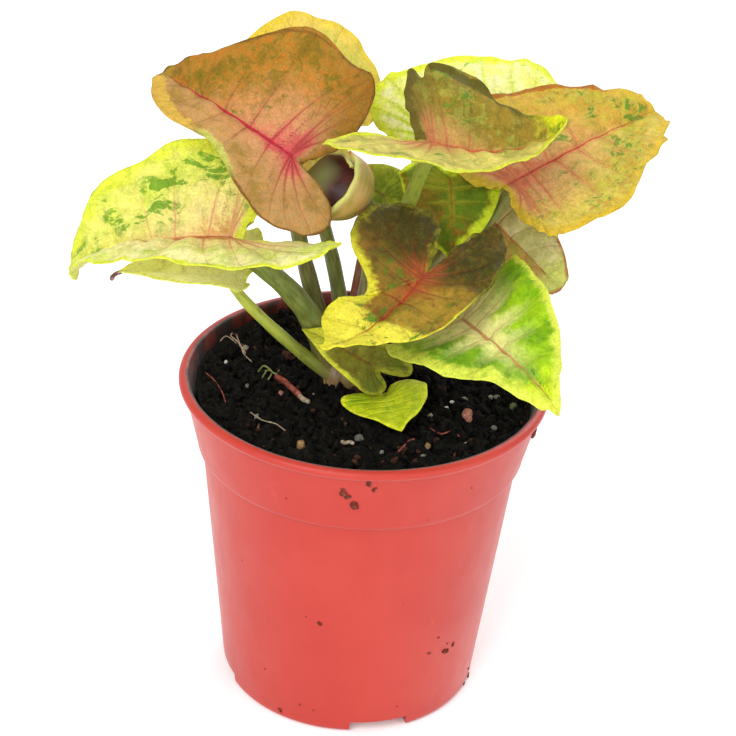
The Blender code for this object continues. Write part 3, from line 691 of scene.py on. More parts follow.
def add_piece(name, mesh, looks, replaced=(), which=None):
    """Links a mesh as a piece on the part's one body; which gives each face its look's number."""
    made = link(name, mesh)
    for look in looks:
        mesh.materials.append(look)
    if which is not None:
        mesh.polygons.foreach_set("material_index", which)
    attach(made, BODY)
    if replaced:
        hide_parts(*replaced)
    return made


def add_skin(made):
    """Gives a sheet its thickness, with its second material underneath."""
    thick = made.modifiers.new("Thickness", "SOLIDIFY")
    thick.thickness = SKIN_THICKNESS * MM
    thick.offset = 0
    thick.material_offset = 1
    return thick


def between_rings(first, rings, sides, outward=True):
    """Faces that join rings of corners, one after another, into a tube or a disc."""
    faces = []
    for here in range(first, first + rings * sides, sides):
        for side in range(sides):
            after = (side + 1) % sides
            face = (here + side, here + after, here + sides + after, here + sides + side)
            faces.append(face if outward else (face[0], face[3], face[2], face[1]))
    return faces


class Heap:
    """Small shapes gathered into one mesh, each with its own look."""

    def __init__(self):
        self.points, self.faces, self.which = [], [], []

    def add(self, corners, faces, look=0):
        self.faces += [tuple(len(self.points) + corner for corner in face) for face in faces]
        self.points += list(corners)
        self.which += [look] * len(faces)

    def piece(self, name, looks, smooth=True):
        """Links what was gathered as one piece; each look holds what soil_material takes."""
        mesh = make_mesh(name, self.points, self.faces, smooth)
        return add_piece(name, mesh, [soil_material(*look) for look in looks], (), self.which)


def edge_growth(look, edges, steps, rng):
    """How far each column of a blade grows or shrinks at its edge, as a share of its reach."""
    columns = np.arange(2 * steps)
    growth = np.zeros(2 * steps)
    for amount, gap in ((look.teeth, 3), (look.wavy, 9)):
        knots = np.arange(0, 2 * steps + gap, gap)
        growth += amount * np.interp(columns, knots, rng.uniform(-1, 1, len(knots)))
    for spot, depth, spread in look.bites:
        reach = max(4.0, np.linalg.norm(edges[0 if spot > 0 else 1][int(abs(spot) * steps)]))
        growth -= depth / reach * np.exp(-((((columns - steps) / steps - spot) / spread) ** 2))
    growth[steps - 2:steps + 3] = 0.0
    return growth


def blade_grid(leaf, look, number, edges, steps, rows, growth):
    """A blade's flat places, bent places, shares of the way out from the joint, and faces."""
    outs = (np.arange(1, rows + 1) / rows) ** 0.92
    flat, bent_up, faces = [np.zeros((1, 2))], [np.zeros((1, 3))], []
    for column in range(2 * steps):
        place = column - steps
        index = 0 if place >= 0 else 1
        side = 1 if place >= 0 else -1
        spot = edges[index][abs(place)]
        grow = 1 + growth[column] * np.clip(outs * 4 - 3, 0, 1)
        x, y = spot[0] * outs * grow, spot[1] * outs * grow
        points = bent(leaf, x, y, index)
        wave = side * math.sin(math.tau * WAVES * abs(place) / steps)
        points[:, 2] += WAVE_SHARE * leaf.width[0] * wave * outs**4
        ruffle = math.sin(0.37 * place + number) + 0.6 * math.sin(0.83 * place + 2 * number)
        points[:, 2] += RUFFLE_SHARE * look.relief * leaf.width[index] * ruffle * outs**5
        flat.append(np.stack([x, side * y], axis=1))
        bent_up.append(points)
        here, there = 1 + column * rows, 1 + (column + 1) % (2 * steps) * rows
        faces.append((0, here, there))
        faces += [(here + row, here + row + 1, there + row + 1, there + row) for row in range(rows - 1)]
    return np.concatenate(flat), np.concatenate(bent_up), np.append(0.0, np.tile(outs, 2 * steps)), faces


def vein_distances(leaf, flat, rng):
    """Signed distances to the nearest vein of two groups, which lie by turns along the midrib."""
    lines = [(line, 0) for line in vein_lines(leaf, 0, rng)]
    lines += [(line * (1, -1), 1) for line in vein_lines(leaf, 1, rng)]
    fields = [np.full(len(flat), 9.0), np.full(len(flat), 9.0)]
    for number, (line, half) in enumerate(lines):
        own = (flat[:, 1] >= -0.01) if half == 0 else (flat[:, 1] <= 0.01)
        signed = np.where(own, signed_distance(flat, line), 9.0)
        group = number % 2
        fields[group] = np.where(np.abs(signed) < np.abs(fields[group]), signed, fields[group])
    return fields


def blade_relief(leaf, look, number, flat, out, edge, nearest):
    """How far each corner is raised, in mm: quilting between veins, a crease, swells and blisters."""
    quilt = 1 - np.exp(-((nearest / QUILT_REACH) ** 2))
    crease = np.exp(-((np.abs(flat[:, 1]) / 0.8) ** 2)) * (flat[:, 0] > -0.5)
    swell = [noise.noise(Vector((u * 0.22 + number, v * 0.22, 0.5 * number))) for u, v in flat]
    blister = [noise.noise(Vector((u * 0.62, v * 0.62 + number, 7.3))) for u, v in flat]
    relief = QUILT_DEPTH * (quilt - 0.6) * np.clip(edge / 3, 0, 1) - CREASE_DEPTH * crease
    waves = SWELL_DEPTH * np.array(swell) + BLISTER_DEPTH * np.array(blister) * quilt
    relief += waves * np.clip(out * 2, 0, 1)
    return relief * look.relief * np.clip(out * 5 - 0.3, 0, 1) * min(1.0, leaf.length / 20)


def blade_piece(leaf, number):
    """A fine blade in place of its solid: the same bend, with veins, quilting and a thin edge."""
    rng = np.random.default_rng(100 + number)
    look = LOOKS[leaf.name]
    girth = np.linalg.norm(np.diff(half_outline(leaf, 0, 60), axis=0), axis=1).sum()
    steps = int(np.clip(girth / EDGE_GAP, 36, 96))
    rows = int(np.clip(leaf.length / ROW_GAP, 20, 56))
    edges = [half_outline(leaf, index, steps) for index in (0, 1)]
    growth = edge_growth(look, edges, steps, rng)
    flat, bent_up, out, faces = blade_grid(leaf, look, number, edges, steps, rows, growth)
    veins = vein_distances(leaf, flat, rng)
    rim = np.vstack([edges[0], edges[1][-2::-1] * (1, -1)])
    edge = np.abs(signed_distance(flat, rim))
    mesh = make_mesh(leaf.name + "_blade", bent_up, faces, edge=edge, out=out, rib=flat[:, 1],
                     along=flat[:, 0] / leaf.length, vein_a=veins[0], vein_b=veins[1],
                     flat=np.column_stack([flat, np.zeros(len(flat))]))
    normals = np.zeros(len(flat) * 3)
    mesh.vertex_normals.foreach_get("vector", normals)
    normals = normals.reshape(-1, 3)
    if normals[:, 2].mean() < 0:
        mesh.flip_normals()
        normals = -normals
    nearest = np.minimum(np.abs(veins[0]), np.abs(veins[1]))
    relief = blade_relief(leaf, look, number, flat, out, edge, nearest)
    mesh.vertices.foreach_set("co", ((bent_up + normals * relief[:, None]) * MM).ravel())
    mesh.transform(leaf_matrix(leaf))
    skins = [leaf_material(leaf.name, look, number),
             leaf_material(leaf.name + "_under", look, number, True)]
    made = add_piece(leaf.name + "_blade", mesh, skins, (leaf.name,))
    thin = made.vertex_groups.new(name="thin")
    for corner, inward in enumerate(edge):
        thin.add([corner], float(0.35 + 0.65 * min(1.0, inward / 1.5)), "REPLACE")
    add_skin(made).vertex_group = "thin"


def stalk_route(leaf):
    """The four control points of a stalk's curve, from inside the crown to under its blade."""
    place = leaf_matrix(leaf).to_3x3()
    below = -(place @ Vector((0, 0, 1)))
    angle = math.radians(leaf.foot_turn)
    foot = Vector((*CROWN, CROWN_TOP - STALK_FOOT_DEPTH))
    foot += Vector((math.cos(angle), math.sin(angle), 0)) * leaf.foot_out
    top = Vector(leaf.joint) + place @ Vector((1, 0, 0)) * STALK_SEAT_AHEAD + below * STALK_SEAT_BELOW
    return [foot, foot + Vector(leaf.rise), top + below * leaf.neck, top]


def young_matrix():
    """From the cup's own space, in metres, to its place on the plant."""
    turn = Matrix.Rotation(math.radians(YOUNG_HEADING), 4, "Z")
    tilt = Matrix.Rotation(math.radians(90 - YOUNG_PITCH), 4, "Y")
    return Matrix.Translation(Vector(YOUNG_JOINT) * MM) @ turn @ tilt


def young_route():
    """The four control points of the rolled leaf's stalk."""
    foot = Vector((*CROWN, CROWN_TOP - STALK_FOOT_DEPTH))
    axis = young_matrix().to_3x3() @ Vector((0, 0, 1))
    top = Vector(YOUNG_JOINT) - axis * 0.2
    return [foot, foot + Vector(YOUNG_RISE), top - axis * YOUNG_NECK, top]


def tube(route, radii, sides=16, steps=40):
    """Points, faces, shares along and places round one stalk, with a channel and a wider foot."""
    shares = np.linspace(0, 1, steps + 1)
    spots = [route[0] * (1 - s) ** 3 + route[1] * 3 * (1 - s) ** 2 * s + route[2] * 3 * (1 - s) * s**2
             + route[3] * s**3 for s in shares]
    points, along, place = [], [], []
    travel = 0.0
    upright = Vector((0.3, 0.2, 1)).cross(spots[1] - spots[0]).normalized()
    for number, (spot, share) in enumerate(zip(spots, shares)):
        ahead = (spots[min(number + 1, steps)] - spots[max(number - 1, 0)]).normalized()
        upright = (upright - ahead * upright.dot(ahead)).normalized()
        other = ahead.cross(upright)
        travel += (spot - spots[max(number - 1, 0)]).length
        radius = radii[0] * (1 - share) + radii[1] * share
        radius *= 1 + STALK_FOOT_FLARE * math.exp(-share * 7) + STALK_SEAT_FLARE * math.exp(-(1 - share) * 26)
        radius *= 1 + 0.03 * math.sin(travel * 0.9 + radii[0] * 9)
        for side in range(sides):
            angle = math.tau * side / sides
            reach = radius * (1 - STALK_CHANNEL * math.exp(-((angle - math.pi) / 0.5) ** 2))
            points.append(spot + (upright * math.cos(angle) + other * math.sin(angle)) * reach)
            along.append(share)
            place.append((3 * math.cos(angle), travel, 3 * math.sin(angle)))
    faces = between_rings(0, steps, sides)
    faces.append(tuple(range(sides - 1, -1, -1)))
    faces.append(tuple(range(steps * sides, (steps + 1) * sides)))
    return points, faces, along, place


# Each stalk's colour at its foot and at its top, and how much red it has; the darker foot is partly painted
# shade near the crown.
STALK_SKINS = {
    "leaf_crimson": ((74, 84, 28), (120, 136, 44), 0.25),
    "leaf_amber": ((84, 96, 30), (140, 152, 56), 0.1),
    "leaf_cream": ((84, 96, 32), (128, 152, 58), 0.1),
    "leaf_under_cream": ((96, 108, 32), (204, 214, 70), 0.0),
    "leaf_lime": ((74, 88, 26), (150, 168, 50), 0.1),
    "leaf_olive": ((60, 72, 22), (150, 168, 40), 0.1),
    "leaf_pink": ((66, 78, 24), (110, 124, 36), 0.2),
    "leaf_edge_on": ((70, 78, 26), (130, 126, 44), 0.3),
    "leaf_front": ((62, 70, 22), (96, 100, 30), 0.2),
    "leaf_green": ((84, 98, 28), (150, 172, 50), 0.1),
    "leaf_low": ((90, 92, 34), (130, 136, 48), 0.3),
    "leaf_heart": ((110, 118, 34), (170, 186, 50), 0.0),
    "leaf_inner": ((66, 70, 24), (104, 96, 34), 0.4),
    "leaf_behind": ((96, 60, 40), (150, 84, 60), 0.9),
    "leaf_rolled": ((86, 88, 40), (112, 106, 62), 0.2),
}


def stalk_material():
    """Stalk skin: each stalk's greens, darker towards the crown partly as painted shade, with lengthwise
    streaks, red flushes and a pale foot.
    """
    p = Paint("stalk_skin")
    place = p.attribute("flat", "Vector")
    streak = p.noise(p.stretch(place, (3.0, 0.35, 1.0)), 1.0, 4, 0.6)
    blotch = p.noise(place, 0.5, 3, 0.6)
    colour = p.mix(p.step(streak, 0.35, 0.65, 0.0, 0.45), p.attribute("skin", "Vector"), (176, 184, 96))
    colour = p.mix(p.step(blotch, 0.5, 0.75, 0.0, 0.5), colour, (58, 66, 22))
    colour = p.mix(p.step(p.attribute("along"), 0.22, 0.0, 0.0, 0.5), colour, (150, 120, 84))
    share = p.times(p.step(blotch, 0.3, 0.6), p.attribute("red"), 0.85)
    colour = p.mix(share, colour, (146, 62, 52))
    return p.finish(colour, p.step(streak, 0.3, 0.7, 0.36, 0.52), p.bump(streak, 0.00025, 0.8), 0.06)


def crown_corners(sides, rows):
    """The crown's corners, ring by ring from its top down, with its base's ragged girth."""
    profile = [(0.01, CROWN_TOP), (CROWN_RADIUS * 0.5, CROWN_TOP - 0.3),
               (CROWN_RADIUS * 0.85, CROWN_TOP - 1.8), (CROWN_RADIUS, CROWN_TOP - 4),
               (CROWN_RADIUS, CROWN_TOP - 8)]
    corners, place = [], []
    for radius, height in through_knots(profile, rows):
        for angle in np.arange(sides) * math.tau / sides:
            reach = radius * (1 + 0.05 * math.sin(5 * angle) + 0.03 * math.sin(11 * angle + height))
            x, y = reach * math.cos(angle), reach * math.sin(angle)
            corners.append(Vector((CROWN[0] + x, CROWN[1] + y, height)))
            place.append((3 * math.cos(angle), height, 3 * math.sin(angle)))
    return corners, place


def build_stalks():
    """The crown and every stalk, as one piece in place of the stems solid."""
    heap = Heap()
    along, place, skins, reds = [], [], [], []
    routes = [(leaf.name, stalk_route(leaf), leaf.stalk) for leaf in LEAVES]
    routes.append(("leaf_rolled", young_route(), YOUNG_STALK))
    for name, route, radii in routes:
        corners, faces, shares, places = tube(route, radii)
        heap.add(corners, faces)
        along += shares
        place += places
        # Partly painted shade: each stalk's colour darkens from its top towards its foot at the crown.
        low, high, red = STALK_SKINS[name]
        ends = list(zip(rgb(*low)[:3], rgb(*high)[:3]))
        skins += [[a + (b - a) * min(1.0, share * 1.3) for a, b in ends] for share in shares]
        reds += [red] * len(shares)
    sides, rows = 48, 24
    corners, places = crown_corners(sides, rows)
    heap.add(corners, between_rings(0, rows, sides, False))
    place += places
    along += [0.05] * len(corners)
    skins += [rgb(84, 84, 34)[:3]] * len(corners)
    reds += [0.3] * len(corners)
    mesh = make_mesh("stalks", heap.points, heap.faces, along=along, red=reds, skin=skins, flat=place)
    add_piece("stalks", mesh, [stalk_material()], ("stems",))


def young_material(name, inside):
    """The rolled leaf's skin: olive and blushed outside with a pale lip, maroon inside."""
    p = Paint(name)
    place = p.attribute("flat", "Vector")
    turn_share = p.attribute("along")
    out = p.attribute("out")
    slow = p.noise(place, 3.0, 3, 0.6)
    medium = p.noise(place, 7.0, 3, 0.6)
    fine = p.noise(place, 26.0, 3, 0.6)
    if inside:
        colour = p.mix(p.step(medium, 0.35, 0.65), (70, 20, 22), (104, 38, 32))
        lining = p.math("ABSOLUTE", p.less(turn_share, 0.42))
        lining = p.times(p.step(lining, 0.24, 0.12), p.step(out, 0.60, 0.86))
        colour = p.mix(lining, colour, (176, 182, 112))
        colour = p.mix(p.step(out, 0.84, 0.99, 0.0, 0.5), colour, (140, 96, 60))
    else:
        colour = p.mix(p.step(medium, 0.35, 0.65), (150, 138, 56), (186, 150, 78))
        colour = p.mix(p.step(slow, 0.5, 0.68, 0.0, 0.75), colour, (190, 112, 74))
        colour = p.mix(p.step(out, 0.50, 0.15, 0.0, 0.9), colour, (100, 90, 62))
        colour = p.mix(p.step(out, 0.90, 0.99, 0.0, 0.9), colour, (206, 208, 112))
        colour = p.mix(p.step(turn_share, 0.94, 0.99, 0.0, 0.8), colour, (216, 140, 90))
    return p.finish(colour, 0.45, p.bump(fine, 0.0001, 0.6), 0.10)


def young_corner(turn_share, out):
    """A point of the cup, in mm, by its share of the turn round and of the way to the lip."""
    turn_here = YOUNG_BASE_TURN + (YOUNG_TURN - YOUNG_BASE_TURN) * out**2
    turn = math.radians(YOUNG_SEAM + turn_here * turn_share)
    lean = (1 + math.cos(turn - math.radians(YOUNG_FLARE_TURN))) / 2
    radius = YOUNG_RADIUS * math.sin(math.radians(110) * out) * (1 + YOUNG_GROWTH * turn_share)
    radius += YOUNG_FLARE * lean**2 * out**4
    radius += 0.12 * math.sin(9 * turn) * out**3
    height = YOUNG_LENGTH * (1 - math.cos(math.radians(80) * out))
    return radius * math.cos(turn), radius * math.sin(turn), height


def build_young_leaf():
    """The rolled leaf: a cup whose last turn laps over its first, with a flared lip."""
    turns, rows = 96, 30
    places = [(turn / turns, row / rows) for turn in range(turns + 1) for row in range(rows + 1)]
    points = [young_corner(turn_share, out) for turn_share, out in places]
    faces = []
    for turn in range(turns):
        for row in range(rows):
            here, there = turn * (rows + 1) + row, (turn + 1) * (rows + 1) + row
            faces.append((here, there, there + 1, here + 1))
    along, out = np.array(places).T
    mesh = make_mesh("rolled_blade", points, faces, along=along, out=out,
                     flat=np.column_stack([along, out, np.zeros(len(out))]))
    mesh.transform(young_matrix())
    skins = [young_material("rolled_out", False), young_material("rolled_in", True)]
    add_skin(add_piece("rolled_blade", mesh, skins, ("leaf_rolled",)))


def pot_outer_radius(height):
    """The pot's outside at a height, without its lip: a tapering body and a wider collar."""
    collar_foot = POT_HEIGHT - COLLAR_HEIGHT
    if height >= collar_foot:
        part = (height - collar_foot) / COLLAR_HEIGHT
        return COLLAR_FOOT_RADIUS + part * (RIM_RADIUS - LIP_WIDTH / 3 - COLLAR_FOOT_RADIUS)
    return BASE_RADIUS + height / collar_foot * (COLLAR_FOOT_RADIUS - COLLAR_STEP - BASE_RADIUS)


def soil_height(x, y):
    """The soil's surface before crumbs: the solid's mound, and a bank at the back left."""
    share = np.hypot(x, y) / (pot_outer_radius(SOIL_EDGE_HEIGHT) - WALL - 0.5)
    lump = np.sin(0.55 * x + 1.3) * np.cos(0.47 * y - 0.4) + 0.6 * np.sin(0.9 * y + 0.35 * x)
    mound = SOIL_MOUND * (1 - share**2)
    toward = np.clip(0.5 + 0.5 * (y - x) / (math.sqrt(2) * np.maximum(np.hypot(x, y), 0.1)), 0, 1)
    bank = SOIL_BANK * toward * np.clip(3 * share - 2, 0, 1) ** 2
    return SOIL_EDGE_HEIGHT + mound + bank + SOIL_LUMP * lump * np.clip(4 * (1 - share), 0, 1)


def soil_material(name, dark, light, share=0.55):
    """Dull grains between two colours, with broad spots where the dark one takes up a share."""
    p = Paint(name)
    spot = p.add("ShaderNodeTexCoord").outputs["Object"]
    tone = p.noise(spot, 1100, 4, 0.7)
    slow = p.noise(spot, 160, 3, 0.6)
    colour = p.mix(p.step(tone, 0.42, 0.74), dark, light)
    colour = p.mix(p.step(slow, 0.5, 0.75, 0.0, share), colour, dark)
    p.shine(Specular_IOR_Level=0.1)
    return p.finish(colour, 0.92, p.bump(tone, 0.0006, 0.9))


def build_soil():
    """The peat's crumbly surface, as a sheet whose edge is turned down along the wall."""
    edge = pot_outer_radius(SOIL_EDGE_HEIGHT) - WALL - 0.25
    rings, turns = 96, 240
    points = [(0.0, 0.0)]
    for ring in range(1, rings + 1):
        for turn in range(turns):
            angle = math.tau * (turn + 0.5 * (ring % 2)) / turns
            points.append((edge * ring / rings * math.cos(angle), edge * ring / rings * math.sin(angle)))
    flat = np.array(points)
    heights = soil_height(flat[:, 0], flat[:, 1])
    crumb = np.array([noise.turbulence(Vector((x * 0.45, y * 0.45, 3.0)), 4, False) for x, y in flat])
    share = np.hypot(flat[:, 0], flat[:, 1]) / edge
    heights += (crumb - crumb.mean()) * CRUMB_DEPTH * np.clip(6 * (1 - share) + 0.25, 0, 1)
    skirt = np.column_stack([flat[-turns:], np.full(turns, SOIL_EDGE_HEIGHT - 3)])
    faces = [(0, 1 + turn, 1 + (turn + 1) % turns) for turn in range(turns)]
    faces += between_rings(1, rings, turns, False)
    mesh = make_mesh("peat", np.vstack([np.column_stack([flat, heights]), skirt]), faces)
    add_piece("peat", mesh, [soil_material("peat", (9, 9, 8), (34, 29, 23))], ("soil",))


def scatter(rng, count, edge):
    """Places on the soil, even over the disc, that stay off the crown."""
    found = []
    while len(found) < count:
        radius, angle = edge * math.sqrt(rng.uniform()), rng.uniform(0, math.tau)
        x, y = radius * math.cos(angle), radius * math.sin(angle)
        if math.hypot(x - CROWN[0], y - CROWN[1]) > CROWN_RADIUS + 0.2:
            found.append((x, y))
    return found


def ball(subdivisions):
    """The corners and faces of a ball of radius 1, to be knobbed into a grain or a stone."""
    made = bmesh.new()
    bmesh.ops.create_icosphere(made, subdivisions=subdivisions, radius=1.0)
    shape = np.array([vertex.co[:] for vertex in made.verts])
    sides = [tuple(vertex.index for vertex in face.verts) for face in made.faces]
    made.free()
    return shape, sides


def knobbed(shape, depth, scale, number):
    """A ball's corners, pushed in and out by noise that differs from number to number."""
    shift = Vector((number * 5, 0, 0))
    knobs = [1 + depth * noise.noise(Vector(corner) * scale + shift) for corner in shape]
    return shape * np.array(knobs)[:, None]


def build_grains():
    """Loose crumbs on the peat: most dark, some reddish bark, a few pale bits."""
    rng = np.random.default_rng(5)
    edge = pot_outer_radius(SOIL_EDGE_HEIGHT) - WALL - 1.0
    shape, sides = ball(1)
    heap = Heap()
    for x, y in scatter(rng, GRAIN_COUNT, edge):
        size = min(rng.lognormal(-1.05, 0.5), GRAIN_LIMIT)
        knobs = 1 + 0.3 * rng.uniform(-1, 1, len(shape))
        grain = shape * knobs[:, None] * (rng.uniform(0.5, 1.25, 3) * size)
        turn = Matrix.Rotation(rng.uniform(0, math.tau), 3, Vector(rng.normal(size=3)).normalized())
        base = float(soil_height(x, y)) + 0.2 * size
        draw = rng.uniform()
        look = 2 if draw < PALE_SHARE else 1 if draw < PALE_SHARE + BARK_SHARE else 0
        heap.add(grain @ np.array(turn) + (x, y, base), sides, look)
    looks = [("crumb_dark", (8, 8, 7), (33, 29, 23)), ("crumb_bark", (56, 34, 26), (108, 66, 50)),
             ("crumb_pale", (120, 116, 100), (190, 186, 168))]
    heap.piece("soil_crumbs", looks, smooth=False)


def camera_axes():
    """The camera's right, up and back directions, level before its roll."""
    rise = math.radians(CAMERA_RISE)
    back = Vector((0, -math.cos(rise), math.sin(rise)))
    right = Vector((1, 0, 0))
    return right, back.cross(right), back


def camera_ray(pixel):
    """Where the camera stands, in mm, and the direction of a pixel of the photo."""
    right, up, back = camera_axes()
    roll = math.radians(CAMERA_ROLL)
    across, down = pixel[0] - PHOTO_SIZE / 2, pixel[1] - PHOTO_SIZE / 2
    aside = math.cos(roll) * across + math.sin(roll) * down
    below = -math.sin(roll) * across + math.cos(roll) * down
    focal = LENS / SENSOR * PHOTO_SIZE
    ahead = right * aside - up * below - back * focal
    return CAMERA_TARGET + back * CAMERA_DISTANCE, ahead.normalized()


def on_soil(pixel, lift=0.0):
    """The point on the soil that the camera sees at a pixel, kept inside the pot."""
    start, ahead = camera_ray(pixel)
    height = SOIL_EDGE_HEIGHT + SOIL_MOUND
    for _ in range(6):
        point = start + ahead * ((height - start.z) / ahead.z)
        height = float(soil_height(point.x, point.y)) + lift
    inward = min(1.0, (pot_outer_radius(SOIL_EDGE_HEIGHT) - WALL - 1.2) / math.hypot(point.x, point.y))
    return Vector((point.x * inward, point.y * inward, height))


def on_pot(pixel):
    """The point on the pot's outer wall nearest to what a pixel shows, and the way out from it."""
    start, ahead = camera_ray(pixel)
    best = None
    for step in range(1500):
        point = start + ahead * (CAMERA_DISTANCE - 60 + 0.08 * step)
        if not 0.3 < point.z < POT_HEIGHT - 0.8:
            continue
        gap = math.hypot(point.x, point.y) - pot_outer_radius(point.z)
        if best is None or gap < best[0]:
            best = (gap, point)
        if gap <= 0:
            break
    point = best[1]
    away = Vector((point.x, point.y, 0)).normalized()
    return away * pot_outer_radius(point.z) + Vector((0, 0, point.z)), away


# Fibres on the soil, each by the pixels it passes, its radius in mm and which look it has.
FIBRES = [
    ([(224, 330), (231, 336), (238, 342), (246, 354)], 0.12, 0),
    ([(236, 334), (240, 344), (244, 354), (252, 362)], 0.09, 0),
    ([(214, 340), (226, 336), (240, 346), (250, 350)], 0.09, 0),
    ([(258, 372), (264, 366), (272, 372), (268, 380)], 0.16, 1),
    ([(262, 378), (268, 370), (276, 374), (280, 368)], 0.14, 1),
    ([(275, 376), (284, 381), (292, 388), (301, 396)], 0.50, 2),
    ([(298, 394), (302, 398), (306, 401), (309, 402)], 0.42, 0),
    ([(341, 441), (345, 443), (350, 442), (354, 444)], 0.30, 0),
    ([(398, 452), (404, 446), (409, 441), (415, 439)], 0.16, 2),
    ([(205, 372), (214, 380), (222, 392), (226, 404)], 0.10, 2),
    ([(430, 428), (441, 434), (452, 431), (460, 437)], 0.12, 2),
    ([(250, 412), (262, 420), (276, 424), (288, 433)], 0.10, 0),
]

# Stones and bark on the soil: pixel, size in mm and which look.
STONES = [
    ((468, 416), 1.25, 0), ((446, 408), 0.40, 1), ((452, 402), 0.32, 1), ((359, 438), 0.80, 2),
    ((301, 446), 0.95, 3), ((513, 407), 0.80, 4), ((281, 394), 0.60, 0), ((247, 386), 0.45, 2),
    ((226, 362), 0.40, 1), ((428, 446), 0.50, 3), ((382, 452), 0.40, 2), ((494, 428), 0.45, 2),
]

# Specks of soil on the pot: pixel, size in mm.
SPECKS = [
    ((369, 482), 0.60), ((344, 492), 0.85), ((350, 497), 0.55), ((354, 503), 0.70), ((374, 489), 0.45),
    ((362, 480), 0.35), ((319, 623), 0.50), ((306, 617), 0.30), ((265, 669), 0.30), ((453, 645), 0.55),
    ((445, 650), 0.65), ((447, 643), 0.35), ((430, 653), 0.45), ((439, 637), 0.30), ((281, 710), 0.45),
    ((300, 704), 0.30), ((314, 711), 0.35), ((470, 676), 0.50), ((465, 684), 0.45), ((468, 668), 0.40),
    ((541, 433), 0.95), ((537, 437), 0.60), ((178, 386), 0.45), ((472, 487), 0.25), ((398, 706), 0.30),
    ((243, 560), 0.22), ((286, 498), 0.25), ((428, 520), 0.22), ((352, 560), 0.20), ((403, 603), 0.22),
]


def strand(points, radius, sides=7):
    """Corners and faces of a thin round strand along points."""
    knots = through_knots(points, 6 * (len(points) - 1))
    corners = []
    for number, spot in enumerate(knots):
        ahead = Vector(knots[min(number + 1, len(knots) - 1)] - knots[max(number - 1, 0)]).normalized()
        across = ahead.cross(Vector((0.1, 0.2, 1))).normalized()
        other = ahead.cross(across)
        here = radius * (0.35 if number in (0, len(knots) - 1) else 1.0)
        for side in range(sides):
            angle = math.tau * side / sides
            corners.append(Vector(spot) + (across * math.cos(angle) + other * math.sin(angle)) * here)
    faces = between_rings(0, len(knots) - 1, sides)
    faces.append(tuple(range(sides - 1, -1, -1)))
    faces.append(tuple(range((len(knots) - 1) * sides, len(knots) * sides)))
    return corners, faces


# What lies on the soil: name, dark colour, light colour and the dark one's share.
FIBRE_LOOKS = [
    ("root_pale", (148, 128, 108), (206, 190, 168), 0.2),
    ("tuft_green", (104, 110, 62), (164, 166, 110), 0.2),
    ("stick_red", (112, 52, 44), (184, 108, 92), 0.2),
]
STONE_LOOKS = [
    ("stone_pink", (150, 96, 80), (210, 160, 140), 0.3),
    ("stone_white", (196, 194, 184), (236, 234, 226), 0.2),
    ("stone_grey", (92, 92, 84), (150, 148, 136), 0.3),
    ("stone_tan", (128, 100, 66), (186, 158, 112), 0.3),
    ("bark_green", (70, 84, 50), (120, 134, 84), 0.3),
]


def build_litter():
    """Root threads, a tuft, a stick, stones and bark that lie on the soil."""
    rng = np.random.default_rng(11)
    heap = Heap()
    for pixels, radius, look in FIBRES:
        route = [on_soil(pixel, 0.35 + radius + rng.uniform(0, 0.35)) for pixel in pixels]
        heap.add(*strand(route, radius), look)
    heap.piece("soil_fibres", FIBRE_LOOKS)
    shape, sides = ball(3)
    heap = Heap()
    for number, (pixel, size, look) in enumerate(STONES):
        spot = on_soil(pixel, 0.3 + 0.3 * size)
        stone = knobbed(shape, 0.35, 1.3, number) * (rng.uniform(0.7, 1.1, 3) * size)
        heap.add(stone + np.array(spot), sides, look)
    heap.piece("soil_stones", STONE_LOOKS)


def build_dry_tip():
    """The dried end of the leaf under the cream one: a small brown curl off its tip."""
    leaf = next(leaf for leaf in LEAVES if leaf.name == "leaf_under_cream")
    share = np.linspace(0, 1, 9)
    turn = 4.6 * share
    size = 0.95 - 0.5 * share
    ahead = leaf.length - 0.9 + 2.2 * share + size * np.sin(turn) * 0.9
    tip = bent(leaf, ahead, np.abs(0.5 * np.sin(3 * share)), 0)
    tip[:, 2] += size * (np.cos(turn) - 1)
    place = leaf_matrix(leaf)
    route = [place @ (Vector(spot) * MM) / MM for spot in tip]
    heap = Heap()
    heap.add(*strand(route, 0.34, 9))
    heap.piece("dry_tip", [("dry_skin", (112, 76, 70), (206, 178, 172), 0.4)])


def build_specks():
    """Crumbs of soil that cling to the pot's outside and rim."""
    rng = np.random.default_rng(23)
    shape, sides = ball(2)
    heap = Heap()
    for number, (pixel, size) in enumerate(SPECKS):
        spot, away = on_pot(pixel)
        for _ in range(3 if size > 0.4 else 1):
            grow = size * rng.uniform(0.45, 0.8)
            shift = Vector(rng.normal(size=3)) * size * 0.35
            shift -= away * shift.dot(away)
            crumb = knobbed(shape, 0.5, 1.6, number) * (rng.uniform(0.6, 1.2, 3) * grow)
            crumb -= np.outer(crumb @ np.array(away), away) * 0.55
            crumb += np.array(spot + shift + away * 0.12 * grow)
            crumb[:, 2] = np.maximum(crumb[:, 2], 0.05)
            heap.add(crumb, sides)
    heap.piece("pot_specks", [("speck", (96, 42, 32), (156, 84, 64), 0.4)])


